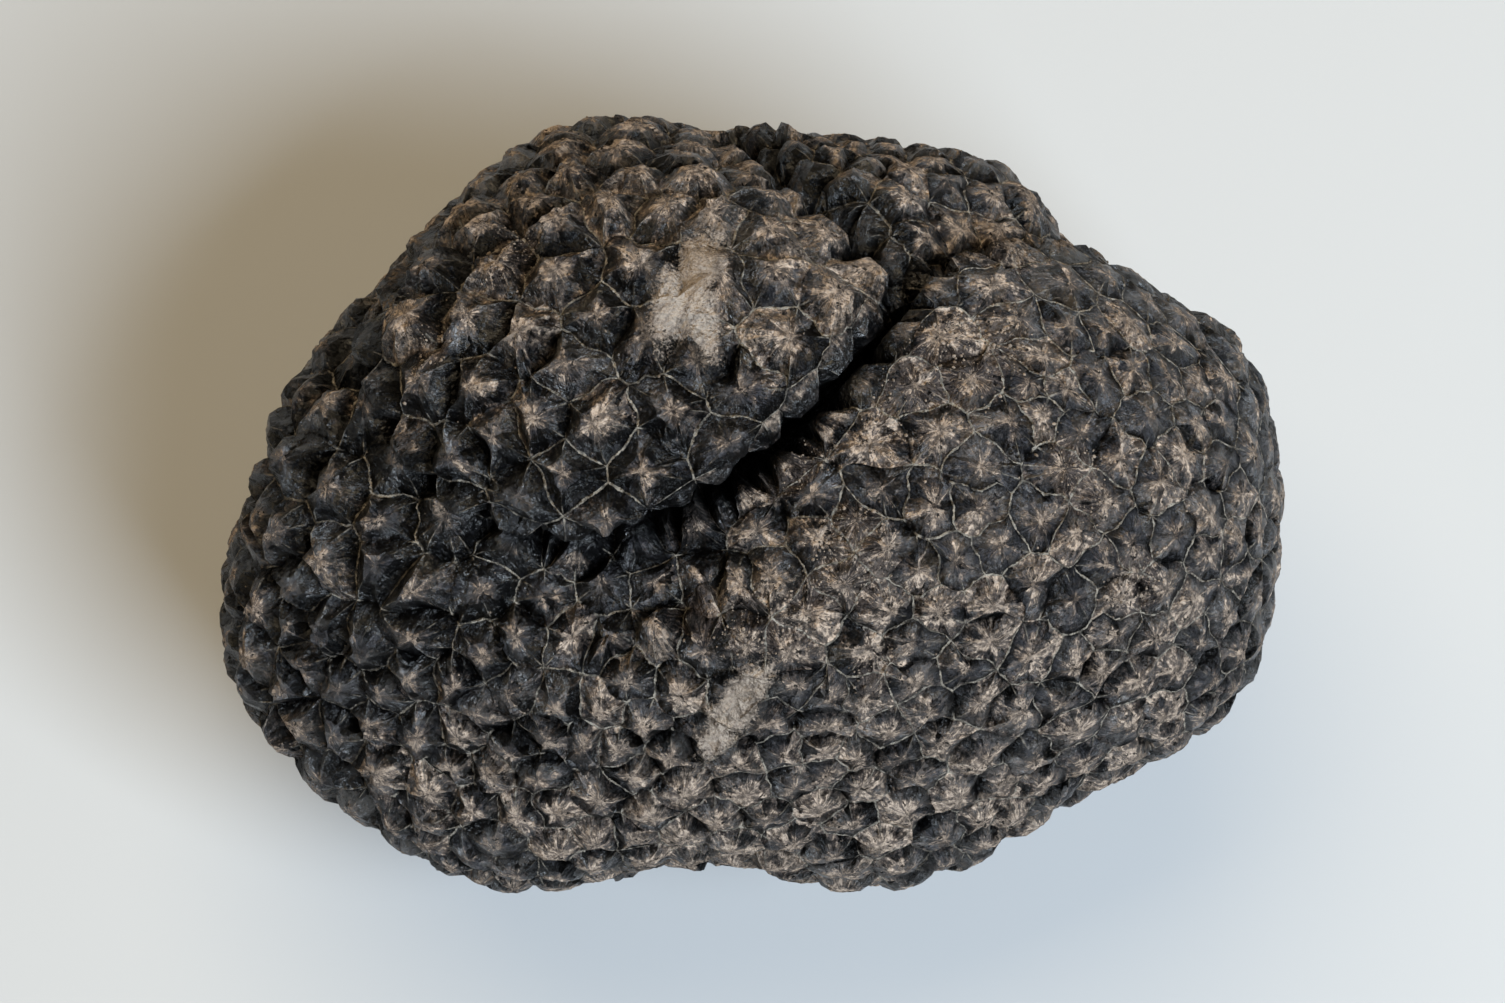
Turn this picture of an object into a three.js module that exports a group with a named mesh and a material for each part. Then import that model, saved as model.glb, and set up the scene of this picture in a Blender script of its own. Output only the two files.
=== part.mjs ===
// Black truffle: one fruiting body, grown as a single closed piece.
// Millimetres, +Z up, +X along its longest way, -Y the front. The origin is the
// middle of the bounding box's underside, where the body rests on a small flat spot.
//
// The skin is a formula of the direction from the middle of the body, in three steps:
//   1. an egg with broad swells and hollows,
//   2. creases, where the skin rolls over a lip and sinks between two lobes,
//   3. warts, one on each cell of an even scatter of points over the whole skin.

import * as THREE from 'three';
import { ConvexHull } from 'three/addons/math/ConvexHull.js';

// ---------------------------------------------------------------- driving dimensions

const halfLength = 33.0;      // half sizes of the plain egg under the warts
const halfDepth = 21.8;
const halfHeight = 20.8;

const wartSize = 3.75;        // usual distance from one wart's middle to the next
const closest = 0.72;         // share of it that is the nearest that two may stand
const wartSpread = 0.22;      // how far single warts are bigger or smaller than usual
const wartHeight = 0.27;      // height of a wart as a share of its size
const wartTop = 0.44;         // width of a wart's top as a share of its foot
const shortestFootEdge = 0.6; // foot corners nearer than this grow together
const restHeight = 0.5;       // how much of the underside is flat, up from its lowest skin

// Broad forms: the way each one faces, its rise, and how far round it spreads in degrees
const swells = {
  upperLeftLobe:    { faces: [-0.22, 0.42, 0.88], rise: 2.4, spread: 22 },
  rightDome:        { faces: [0.50, -0.15, 0.85], rise: 0.8, spread: 24 },
  lobeBackRim:      { faces: [-0.32, 0.89, 0.32], rise: 2.4, spread: 13 },
  backMiddle:       { faces: [0.02, 0.94, 0.33], rise: 0.3, spread: 8 },
  backRightLobe:    { faces: [0.46, 0.83, 0.30], rise: 1.8, spread: 11 },
  rightNotch:       { faces: [0.71, 0.67, 0.22], rise: -4.4, spread: 8 },
  rightShoulder:    { faces: [0.88, 0.43, 0.18], rise: 1.0, spread: 10 },
  rightFrontCorner: { faces: [0.84, -0.53, -0.07], rise: 2.1, spread: 11 },
  frontRightBelly:  { faces: [0.28, -0.94, -0.18], rise: 2.4, spread: 12 },
  frontDent:        { faces: [-0.12, -0.97, -0.20], rise: -2.8, spread: 7 },
  frontLeftBelly:   { faces: [-0.46, -0.87, -0.15], rise: 4.3, spread: 16 },
  leftShoulder:     { faces: [-0.86, -0.51, -0.06], rise: 2.4, spread: 13 },
  leftWaist:        { faces: [-0.97, 0.18, 0.10], rise: -4.0, spread: 13 },
  leftHollow:       { faces: [-0.74, 0.62, 0.27], rise: -2.5, spread: 13 },
};

// Creases between the lobes. Each runs through points given as seen from above:
// x, y, how deep it sinks, how far it leans under its far side in degrees, and how
// much the skin is lower on its near and on its far side. The near side is the one
// on the left hand when going along the crease with the skin underfoot.
const creases = {
  main: {
    upper: true, nearWidth: 1.3, farWidth: 2.4, gap: 1.2, dropWidth: 7.5, seedPairs: true,
    points: [
      [24.0, 15.6, 0.0, 0, 0.0, 0.0], [23.0, 15.0, 2.2, 0, 0.0, 0.6],
      [20.3, 13.0, 3.4, -8, 0.0, 1.6], [15.2, 11.6, 4.0, -14, 0.0, 2.4],
      [11.8, 9.4, 4.8, -10, 0.0, 2.2], [9.8, 6.4, 6.4, 0, 0.2, 1.0],
      [7.2, 2.6, 7.4, 6, 1.0, 0.0], [3.8, -2.0, 7.8, 12, 2.2, 0.0],
      [-0.1, -5.6, 7.4, 18, 3.0, 0.0], [-4.3, -8.0, 6.2, 26, 3.2, 0.0],
      [-8.9, -9.2, 5.2, 28, 2.8, 0.0], [-13.7, -8.4, 3.8, 24, 2.0, 0.0],
      [-18.6, -5.6, 2.4, 20, 1.2, 0.0], [-22.6, 0.4, 3.0, 20, 1.2, 0.0],
      [-24.2, 5.2, 3.6, 22, 1.6, 0.0], [-22.4, 9.4, 3.0, 18, 1.2, 0.0],
      [-20.8, 12.4, 1.6, 10, 0.8, 0.0], [-19.8, 15.2, 0.0, 0, 0.0, 0.0],
    ],
  },
  backValley: {
    upper: true, nearWidth: 3.6, farWidth: 3.4, gap: 0.3, dropWidth: 8.0, seedPairs: false,
    points: [
      [9.4, 4.8, 0.0, 0, 0.0, 0.0], [9.0, 8.0, 1.6, 0, 1.5, 0.0],
      [7.4, 11.6, 2.6, 0, 2.6, 0.0], [3.6, 15.6, 2.6, 0, 2.4, 0.0],
      [0.4, 18.8, 2.6, 0, 1.6, 0.0], [-1.0, 21.0, 0.0, 0, 0.6, 0.0],
    ],
  },
  backBump: {
    upper: true, nearWidth: 2.4, farWidth: 2.0, gap: 0.2, dropWidth: 4.0, seedPairs: false,
    points: [
      [1.6, 17.8, 0.6, 0, 0.0, 0.0], [2.6, 16.4, 1.6, 0, 0.0, 0.0],
      [4.7, 15.4, 1.8, 0, 0.0, 0.0], [7.2, 16.1, 1.5, 0, 0.0, 0.0],
      [9.2, 17.8, 0.6, 0, 0.0, 0.0], [10.0, 19.0, 0.0, 0, 0.0, 0.0],
    ],
  },
  ledge: {
    upper: true, nearWidth: 3.2, farWidth: 3.0, gap: 0.2, dropWidth: 4.0, seedPairs: false,
    points: [
      [-12.6, -13.6, 0.0, 0, 0.0, 0.0], [-8.8, -13.8, 0.8, 0, 0.0, 0.0],
      [-5.0, -12.8, 1.1, 0, 0.0, 0.0], [-1.8, -10.6, 1.1, 0, 0.0, 0.0],
      [1.0, -8.2, 0.7, 0, 0.0, 0.0], [3.6, -6.4, 0.0, 0, 0.0, 0.0],
    ],
  },
  pocket: {
    upper: true, nearWidth: 2.2, farWidth: 2.2, gap: 0.2, dropWidth: 4.0, seedPairs: false,
    points: [
      [1.6, -11.8, 0.0, 0, 0.0, 0.0], [5.1, -12.3, 0.9, 0, 0.0, 0.0],
      [6.8, -13.8, 0.9, 0, 0.0, 0.0], [8.0, -15.1, 0.0, 0, 0.0, 0.0],
    ],
  },
  frontNotch: {
    upper: false, nearWidth: 4.8, farWidth: 4.8, gap: 0.2, dropWidth: 4.0, seedPairs: false,
    points: [
      [-6.0, -20.6, 0.0, 0, 0.0, 0.0], [-3.4, -21.2, 1.8, 0, 0.0, 0.0],
      [-2.4, -20.6, 1.2, 0, 0.0, 0.0], [-1.4, -19.6, 0.0, 0, 0.0, 0.0],
    ],
  },
};
const samplesPerSpan = 8;     // from one point of a crease to the next
const creaseReach = 11;       // no crease moves the skin further away than this
const gapRamp = 0.25;         // the open gap starts this near to the middle of the crease
const deepGap = 0.4;          // a deep crease opens by this much more
const deepGapFrom = 5;        // from this depth
const deepGapRamp = 2.5;      // and fully this much deeper
const fullRollDepth = 2;      // a crease this deep has fully rolled lips
const fullShadeDepth = 3;     // and one this deep keeps its walls nearly free of warts
const gatherDepth = 6;        // a crease this deep draws skin in from its sides
const gatherShare = 0.42;     // by this share of the distance close to it
const gatherReach = 6;        // fading over about this distance
const lipEase = 0.36;         // how much of the stretching is kept off the lips
const seedPairStep = 0.15;    // along a crease, in radians seen from the middle
const seedPairOffset = 0.04;  // to each side of it
const deepFlattening = 0.9;   // how much lower a wart is at the bottom of a crease

// Where warts are coarser or finer than usual: faces, share by which they differ, spread
const coarseness = {
  upperLeftLobe: { faces: [-0.25, 0.30, 0.92], more: 0.22, spread: 26 },
  leftEnd:       { faces: [-0.85, -0.25, 0.45], more: 0.14, spread: 22 },
  backRightLobe: { faces: [0.42, 0.75, 0.50], more: -0.26, spread: 18 },
  front:         { faces: [0.10, -0.80, 0.55], more: -0.22, spread: 34 },
  rightEnd:      { faces: [0.96, -0.05, 0.30], more: -0.14, spread: 22 },
  leftSide:      { faces: [-0.98, 0.05, 0.05], more: -0.30, spread: 24 },
  backSide:      { faces: [-0.35, 0.92, 0.15], more: -0.20, spread: 24 },
  leftFoot:      { faces: [-0.55, -0.80, -0.10], more: -0.14, spread: 24 },
  underside:     { faces: [0, 0, -1], more: 0.26, spread: 45 },
};

// Bald scars, where warts have grown together: middle seen from above, half length,
// half width, and the turn of the long way from +X in degrees
const scars = [
  { x: -4.3, y: 5.6, halfLength: 3.7, halfWidth: 1.5, turn: 72 },
  { x: -3.0, y: 2.9, halfLength: 2.3, halfWidth: 0.9, turn: 106 },
  { x: -0.8, y: -16.9, halfLength: 3.0, halfWidth: 1.25, turn: 40 },
];
const scarLevel = 0.72;       // a scar lies at this share of the warts' height
const scarBlend = 0.25;       // its edge is this share of its width, to each side

const dartCount = 14000;      // tries at placing one more wart
const fineStep = 1e-3;        // steps for measuring the skin, in radians seen from the middle
const scaleStep = 0.01;
const wartStep = 0.03;

// ---------------------------------------------------------------- small helpers

const half = new THREE.Vector3(halfLength, halfDepth, halfHeight);

// Even numbers from 0 to 1, the same in every run
function seededRandom(seed) {
  let state = seed;
  return () => {
    state = (state + 0x6d2b79f5) | 0;
    let t = Math.imul(state ^ (state >>> 15), 1 | state);
    t = (t + Math.imul(t ^ (t >>> 7), 61 | t)) ^ t;
    return ((t ^ (t >>> 14)) >>> 0) / 4294967296;
  };
}

function smoothStep(t) {
  const c = Math.min(1, Math.max(0, t));
  return c * c * (3 - 2 * c);
}

// A bell over the skin: 1 where it faces the form's way, falling off over spread degrees
function bell(facing, form) {
  const width = THREE.MathUtils.degToRad(form.spread);
  return Math.exp((facing.dot(form.way) - 1) / (width * width));
}

// A direction from the middle, as it would be if the egg were rounded out to a ball
function ballDirection(direction) {
  return direction.clone().divide(half).normalize();
}

for (const form of [...Object.values(swells), ...Object.values(coarseness)]) {
  form.way = new THREE.Vector3(...form.faces).normalize();
}

// Two directions at right angles to a direction and to each other
const awayFromAll = new THREE.Vector3(0.31, 0.17, 0.93);
function acrossDirections(direction) {
  const a = new THREE.Vector3().crossVectors(direction, awayFromAll).normalize();
  const b = new THREE.Vector3().crossVectors(direction, a);
  return [a, b];
}

// Cross product of two steps over a surface, which is given as a function of the direction
function crossOf(surface, direction, step) {
  const [a, b] = acrossDirections(direction);
  const at = (way, amount) => surface(direction.clone().addScaledVector(way, amount).normalize());
  const alongA = at(a, step).sub(at(a, -step));
  const alongB = at(b, step).sub(at(b, -step));
  return alongA.cross(alongB);
}

function normalOf(surface, direction, step) {
  return crossOf(surface, direction, step).normalize();
}

// ---------------------------------------------------------------- step 1: swells

function eggPoint(direction) {
  const facing = ballDirection(direction);
  const point = facing.clone().multiply(half);
  const outward = facing.clone().divide(half).normalize();
  let rise = 0;
  for (const swell of Object.values(swells)) rise += swell.rise * bell(facing, swell);
  return point.addScaledVector(outward, rise);
}

// ---------------------------------------------------------------- step 2: creases

function catmullRom(a, b, c, d, t) {
  return a.map((_, k) => 0.5 * (2 * b[k] + (c[k] - a[k]) * t
    + (2 * a[k] - 5 * b[k] + 4 * c[k] - d[k]) * t * t
    + (3 * b[k] - a[k] - 3 * c[k] + d[k]) * t * t * t));
}

// Curve through rows of numbers, run on straight past both ends
function curveThrough(rows, perSpan) {
  const extend = (p, q) => p.map((_, k) => 2 * p[k] - q[k]);
  const last = rows.length - 1;
  const all = [extend(rows[0], rows[1]), ...rows, extend(rows[last], rows[last - 1])];
  const samples = [];
  for (let i = 0; i < last; i++) {
    for (let k = 0; k < perSpan; k++) {
      samples.push(catmullRom(all[i], all[i + 1], all[i + 2], all[i + 3], k / perSpan));
    }
  }
  samples.push(rows[last]);
  return samples;
}

// Samples along a crease: place on the egg, outward normal, way to the near side, values
function layOut(crease) {
  const rows = crease.points.map(([x, y, ...values]) => {
    const across = new THREE.Vector2(x / halfLength, y / halfDepth);
    const up = Math.sqrt(Math.max(1e-4, 1 - across.lengthSq())) * (crease.upper ? 1 : -1);
    return [...new THREE.Vector3(across.x, across.y, up).normalize(), ...values];
  });
  crease.samples = curveThrough(rows, samplesPerSpan).map(([x, y, z, ...values]) => {
    const direction = new THREE.Vector3(x, y, z).normalize().multiply(half).normalize();
    const normal = normalOf(eggPoint, direction, fineStep);
    return { direction, place: eggPoint(direction), normal, values };
  });
  const count = crease.samples.length;
  const middle = new THREE.Vector3();
  crease.samples.forEach((sample, i) => {
    const before = crease.samples[Math.max(0, i - 1)];
    const after = crease.samples[Math.min(count - 1, i + 1)];
    const along = after.place.clone().sub(before.place);
    sample.toNear = sample.normal.clone().cross(along).normalize();
    const turning = after.direction.clone().sub(before.direction);
    sample.sideways = sample.direction.clone().cross(turning).normalize();
    middle.addScaledVector(sample.place, 1 / count);
  });
  crease.middle = middle;
  const furthest = Math.max(...crease.samples.map((sample) => sample.place.distanceTo(middle)));
  crease.reach = furthest + creaseReach;
}
Object.values(creases).forEach(layOut);

// Nearest place on a crease to a point of the egg
function nearestOn(crease, point) {
  let best = { distanceSq: Infinity, index: 0, t: 0 };
  for (let i = 0; i + 1 < crease.samples.length; i++) {
    const a = crease.samples[i].place;
    const b = crease.samples[i + 1].place;
    const [sx, sy, sz] = [b.x - a.x, b.y - a.y, b.z - a.z];
    const [px, py, pz] = [point.x - a.x, point.y - a.y, point.z - a.z];
    const along = (px * sx + py * sy + pz * sz) / (sx * sx + sy * sy + sz * sz);
    const t = Math.min(1, Math.max(0, along));
    const distanceSq = (px - t * sx) ** 2 + (py - t * sy) ** 2 + (pz - t * sz) ** 2;
    if (distanceSq < best.distanceSq) best = { distanceSq, index: i, t };
  }
  const a = crease.samples[best.index];
  const b = crease.samples[best.index + 1];
  return {
    distance: Math.sqrt(best.distanceSq),
    foot: a.place.clone().lerp(b.place, best.t),
    footDirection: a.direction.clone().lerp(b.direction, best.t).normalize(),
    normal: a.normal.clone().lerp(b.normal, best.t).normalize(),
    toNear: a.toNear.clone().lerp(b.toNear, best.t).normalize(),
    values: a.values.map((value, k) => value + (b.values[k] - value) * best.t),
  };
}

// Skin is drawn in towards a deep crease, so the warts on its lips aren't stretched
function gather(crease, direction) {
  const point = eggPoint(direction);
  if (point.distanceTo(crease.middle) > crease.reach + gatherReach) return direction;
  const { distance, footDirection, values } = nearestOn(crease, point);
  const share = gatherShare * smoothStep(values[0] / gatherDepth);
  const pull = share * Math.exp(-((distance / gatherReach) ** 2));
  return direction.clone().lerp(footDirection, pull).normalize();
}

// How one crease moves a point of the egg, and how deep in the crease that point is
function creaseEffect(crease, point) {
  const none = { move: null, deep: 0 };
  if (point.distanceTo(crease.middle) > crease.reach) return none;
  const { distance, foot, normal, toNear, values } = nearestOn(crease, point);
  if (distance > creaseReach) return none;
  const [rawDepth, lean, nearDrop, farDrop] = values;
  const depth = Math.max(0, rawDepth);
  const away = point.clone().sub(foot);
  away.addScaledVector(normal, -away.dot(normal));
  const across = away.length();
  const onNearSide = away.dot(toNear) > 0;
  away.divideScalar(Math.max(across, 1e-9));

  // A quarter of an ellipse rolls from the flat skin over the lip and down the wall
  const width = onNearSide ? crease.nearWidth : crease.farWidth;
  const inside = across < width;
  const t = Math.min(1, across / width);
  const turn = (t + lipEase * t * (1 - t)) * Math.PI / 2;
  const gap = crease.gap + deepGap * smoothStep((depth - deepGapFrom) / deepGapRamp);
  const openBy = gap / 2 * Math.min(1, across / gapRamp) * Math.cos(turn);
  const rolledTo = inside ? width * (1 - Math.cos(turn)) + openBy : across;
  const sink = inside ? depth * (1 - Math.sin(turn)) : 0;
  const drop = (onNearSide ? nearDrop : farDrop) * (1 - smoothStep(across / crease.dropWidth));
  const leanAngle = THREE.MathUtils.degToRad(lean);
  const move = away.multiplyScalar((rolledTo - across) * smoothStep(depth / fullRollDepth));
  move.addScaledVector(normal, -sink * Math.cos(leanAngle) - drop);
  move.addScaledVector(toNear, -sink * Math.sin(leanAngle));
  const deep = (1 - smoothStep(across / width)) * smoothStep(depth / fullShadeDepth);
  return { move, deep };
}

function skin(direction) {
  let drawn = direction;
  for (const crease of Object.values(creases)) drawn = gather(crease, drawn);
  const egg = eggPoint(drawn);
  const point = egg.clone();
  let deep = 0;
  for (const crease of Object.values(creases)) {
    const effect = creaseEffect(crease, egg);
    if (effect.move) point.add(effect.move);
    deep = Math.max(deep, effect.deep);
  }
  return { point, deep };
}
const skinPoint = (direction) => skin(direction).point;

// ---------------------------------------------------------------- step 3: warts

function coarsenessAt(direction) {
  const facing = ballDirection(direction);
  let share = 1;
  for (const form of Object.values(coarseness)) share += form.more * bell(facing, form);
  return share;
}

// Millimetres of skin for each radian of direction
function skinScale(direction) {
  return Math.sqrt(crossOf(skinPoint, direction, scaleStep).length()) / (2 * scaleStep);
}

// 1 in the middle of a bald scar, 0 outside it
function scarAt(direction) {
  if (direction.z < 0) return 0;
  const facing = ballDirection(direction);
  let most = 0;
  for (const scar of scars) {
    const turn = THREE.MathUtils.degToRad(scar.turn);
    const x = facing.x * halfLength - scar.x;
    const y = facing.y * halfDepth - scar.y;
    const along = (x * Math.cos(turn) + y * Math.sin(turn)) / scar.halfLength;
    const across = (y * Math.cos(turn) - x * Math.sin(turn)) / scar.halfWidth;
    const out = (Math.hypot(along, across) - 1 + scarBlend) / (2 * scarBlend);
    most = Math.max(most, 1 - smoothStep(out));
  }
  return most;
}

// Wart middles: pairs on both sides of the deep creases, then darts thrown over the rest
function scatterSeeds() {
  const random = seededRandom(20817);
  const seeds = [];
  for (const crease of Object.values(creases)) {
    if (!crease.seedPairs) continue;
    let walked = seedPairStep;
    crease.samples.forEach((sample, i) => {
      if (i > 0) walked += sample.direction.distanceTo(crease.samples[i - 1].direction);
      if (walked < seedPairStep) return;
      walked = 0;
      for (const side of [seedPairOffset, -seedPairOffset]) {
        const direction = sample.direction.clone().addScaledVector(sample.sideways, side).normalize();
        seeds.push({ direction, room: seedPairStep });
      }
    });
  }
  for (let i = 0; i < dartCount; i++) {
    const z = 2 * random() - 1;
    const turn = 2 * Math.PI * random();
    const flat = Math.sqrt(1 - z * z);
    const direction = new THREE.Vector3(flat * Math.cos(turn), flat * Math.sin(turn), z);
    const own = 1 + wartSpread * (2 * random() - 1);
    const room = wartSize * own * coarsenessAt(direction) / skinScale(direction);
    const isClear = (seed) => seed.direction.distanceTo(direction) > closest * 0.5 * (seed.room + room);
    if (seeds.every(isClear)) seeds.push({ direction, room });
  }
  return seeds;
}

// Cells round the seeds. The corners of the cells are the normals of the faces of the
// seeds' convex hull, and corners that nearly touch are made one.
function cellsRound(seeds) {
  const points = seeds.map((seed) => seed.direction.clone());
  const hull = new ConvexHull().setFromPoints(points);
  const indexOf = new Map(points.map((point, i) => [point, i]));
  const faceIndex = new Map(hull.faces.map((face, i) => [face, i]));
  const corners = hull.faces.map((face) => {
    const direction = face.normal.clone().normalize();
    return { direction, place: skinPoint(direction) };
  });
  const around = seeds.map(() => new Set());
  const groupOf = corners.map((_, i) => i);
  const groupRoot = (i) => (groupOf[i] === i ? i : groupRoot(groupOf[i]));
  hull.faces.forEach((face, i) => {
    let edge = face.edge;
    do {
      around[indexOf.get(edge.head().point)].add(i);
      const j = faceIndex.get(edge.twin.face);
      if (j > i && corners[i].place.distanceTo(corners[j].place) < shortestFootEdge) {
        groupOf[groupRoot(j)] = groupRoot(i);
      }
      edge = edge.next;
    } while (edge !== face.edge);
  });

  const merged = new Map();
  corners.forEach((corner, i) => {
    const root = groupRoot(i);
    if (!merged.has(root)) merged.set(root, new THREE.Vector3());
    merged.get(root).add(corner.direction);
  });
  for (const direction of merged.values()) direction.normalize();

  const cells = seeds.map((seed, i) => {
    const [a, b] = acrossDirections(seed.direction);
    const ring = [...around[i]].map((k) => {
      const away = corners[k].direction;
      return { root: groupRoot(k), angle: Math.atan2(away.dot(b), away.dot(a)) };
    });
    ring.sort((p, q) => p.angle - q.angle);
    const roots = ring.map((corner) => corner.root);
    return roots.filter((root, k) => root !== roots[(k + 1) % roots.length]);
  });
  return { cells, corners: merged };
}

// ---------------------------------------------------------------- the mesh

function buildTruffle() {
  const seeds = scatterSeeds();
  const { cells, corners } = cellsRound(seeds);
  const vertices = [];
  const triangles = [];
  const addVertex = (point) => vertices.push(point) - 1;

  const footIndex = new Map();
  for (const [root, direction] of corners) {
    const scar = scarAt(direction);
    const point = skinPoint(direction);
    if (scar > 0) {
      const lift = scar * scarLevel * wartHeight * wartSize;
      point.addScaledVector(normalOf(skinPoint, direction, wartStep), lift);
    }
    footIndex.set(root, addVertex(point));
  }

  cells.forEach((roots, i) => {
    const { direction } = seeds[i];
    const { deep } = skin(direction);
    const feet = roots.map((root) => vertices[footIndex.get(root)]);
    const area = feet.reduce((sum, foot, k) => {
      const next = feet[(k + 1) % feet.length];
      const a = foot.clone().sub(feet[0]);
      return sum + a.cross(next.clone().sub(feet[0])).length() / 2;
    }, 0);
    const level = THREE.MathUtils.lerp(1, scarLevel, scarAt(direction));
    const shrink = (1 - deepFlattening * deep) * level;
    const height = wartHeight * Math.sqrt(area) * coarsenessAt(direction) * shrink;
    const upright = normalOf(skinPoint, direction, wartStep);
    const outward = upright.lerp(normalOf(eggPoint, direction, wartStep), deep);
    const top = roots.map((root) => {
      const way = direction.clone().lerp(corners.get(root), wartTop).normalize();
      return addVertex(skinPoint(way).addScaledVector(outward, height));
    });
    const count = roots.length;
    for (let k = 0; k < count; k++) {
      const [footA, footB] = [footIndex.get(roots[k]), footIndex.get(roots[(k + 1) % count])];
      const [topA, topB] = [top[k], top[(k + 1) % count]];
      triangles.push([footA, footB, topB], [footA, topB, topA]);
      if (k > 0 && k + 1 < count) triangles.push([top[0], topA, topB]);
    }
  });

  // The flat spot: nothing reaches lower than a level just above the lowest skin
  const lowestSkin = skinPoint(new THREE.Vector3(0, 0, -1)).z;
  const floor = lowestSkin + restHeight;
  for (const vertex of vertices) vertex.z = Math.max(vertex.z, floor);

  const box = new THREE.Box3().setFromPoints(vertices);
  const middle = box.getCenter(new THREE.Vector3());
  const toOrigin = new THREE.Vector3(-middle.x, -middle.y, -box.min.z);
  const geometry = new THREE.BufferGeometry();
  const positions = vertices.flatMap((vertex) => vertex.clone().add(toOrigin).toArray());
  geometry.setAttribute('position', new THREE.Float32BufferAttribute(positions, 3));
  geometry.setIndex(triangles.flat());
  geometry.computeVertexNormals();
  return geometry;
}

const skinMaterial = new THREE.MeshStandardMaterial({ color: 0x2b2826, roughness: 0.62, metalness: 0 });
const truffle = new THREE.Mesh(buildTruffle(), skinMaterial);
truffle.name = 'truffle';

const group = new THREE.Group();
group.add(truffle);

export default group;
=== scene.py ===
import math
from functools import reduce

import bmesh
import bpy
import numpy as np
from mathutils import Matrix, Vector


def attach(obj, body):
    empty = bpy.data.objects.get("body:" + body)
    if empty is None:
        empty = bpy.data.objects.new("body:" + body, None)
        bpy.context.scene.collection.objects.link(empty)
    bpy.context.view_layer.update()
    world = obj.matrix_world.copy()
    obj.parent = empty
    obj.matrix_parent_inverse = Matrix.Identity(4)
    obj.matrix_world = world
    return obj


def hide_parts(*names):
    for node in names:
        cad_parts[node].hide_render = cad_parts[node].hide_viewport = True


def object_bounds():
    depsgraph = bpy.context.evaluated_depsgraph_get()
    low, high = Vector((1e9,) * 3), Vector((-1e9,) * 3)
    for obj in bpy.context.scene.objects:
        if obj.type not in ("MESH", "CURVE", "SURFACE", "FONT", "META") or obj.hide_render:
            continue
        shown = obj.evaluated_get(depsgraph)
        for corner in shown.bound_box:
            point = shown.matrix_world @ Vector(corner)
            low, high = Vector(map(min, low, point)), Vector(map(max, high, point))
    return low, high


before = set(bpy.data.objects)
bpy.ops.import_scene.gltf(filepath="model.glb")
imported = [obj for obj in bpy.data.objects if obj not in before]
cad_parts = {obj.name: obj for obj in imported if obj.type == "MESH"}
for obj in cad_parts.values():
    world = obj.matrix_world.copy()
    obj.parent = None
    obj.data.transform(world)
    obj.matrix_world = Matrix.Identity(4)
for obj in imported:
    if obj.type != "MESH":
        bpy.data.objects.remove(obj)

mm = 0.001
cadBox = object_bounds()
print("frame loaded, box", [round(side / mm, 2) for side in cadBox[1] - cadBox[0]], "mm")


# The body, in millimetres, on the same formula as the CAD solid
body = {
    "halfSizes": (33.0, 21.8, 20.8),  # of the plain egg under the warts
    "restHeight": 0.5,                # how much of the underside is flat
    "samplesPerSpan": 8,              # along a crease
    "pointsAtOnce": 6000,             # when measuring how far they lie from it
    "creaseReach": 11,
    "gapRamp": 0.25,
    "deepGap": 0.4,
    "deepGapFrom": 5,
    "deepGapRamp": 2.5,
    "fullRollDepth": 2,
    "fullShadeDepth": 3,
    "gatherDepth": 6,
    "gatherShare": 0.42,
    "gatherReach": 6,
    "lipEase": 0.36,
}

# Broad swells and hollows: the way it faces, its rise, its spread in degrees
swells = {
    "upperLeftLobe": ((-0.22, 0.42, 0.88), 2.4, 22),
    "rightDome": ((0.50, -0.15, 0.85), 0.8, 24),
    "lobeBackRim": ((-0.32, 0.89, 0.32), 2.4, 13),
    "backMiddle": ((0.02, 0.94, 0.33), 0.3, 8),
    "backRightLobe": ((0.46, 0.83, 0.30), 1.8, 11),
    "rightNotch": ((0.71, 0.67, 0.22), -4.4, 8),
    "rightShoulder": ((0.88, 0.43, 0.18), 1.0, 10),
    "rightFrontCorner": ((0.84, -0.53, -0.07), 2.1, 11),
    "frontRightBelly": ((0.28, -0.94, -0.18), 2.4, 12),
    "frontDent": ((-0.12, -0.97, -0.20), -2.8, 7),
    "frontLeftBelly": ((-0.46, -0.87, -0.15), 4.3, 16),
    "leftShoulder": ((-0.86, -0.51, -0.06), 2.4, 13),
    "leftWaist": ((-0.97, 0.18, 0.10), -4.0, 13),
    "leftHollow": ((-0.74, 0.62, 0.27), -2.5, 13),
}

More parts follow.
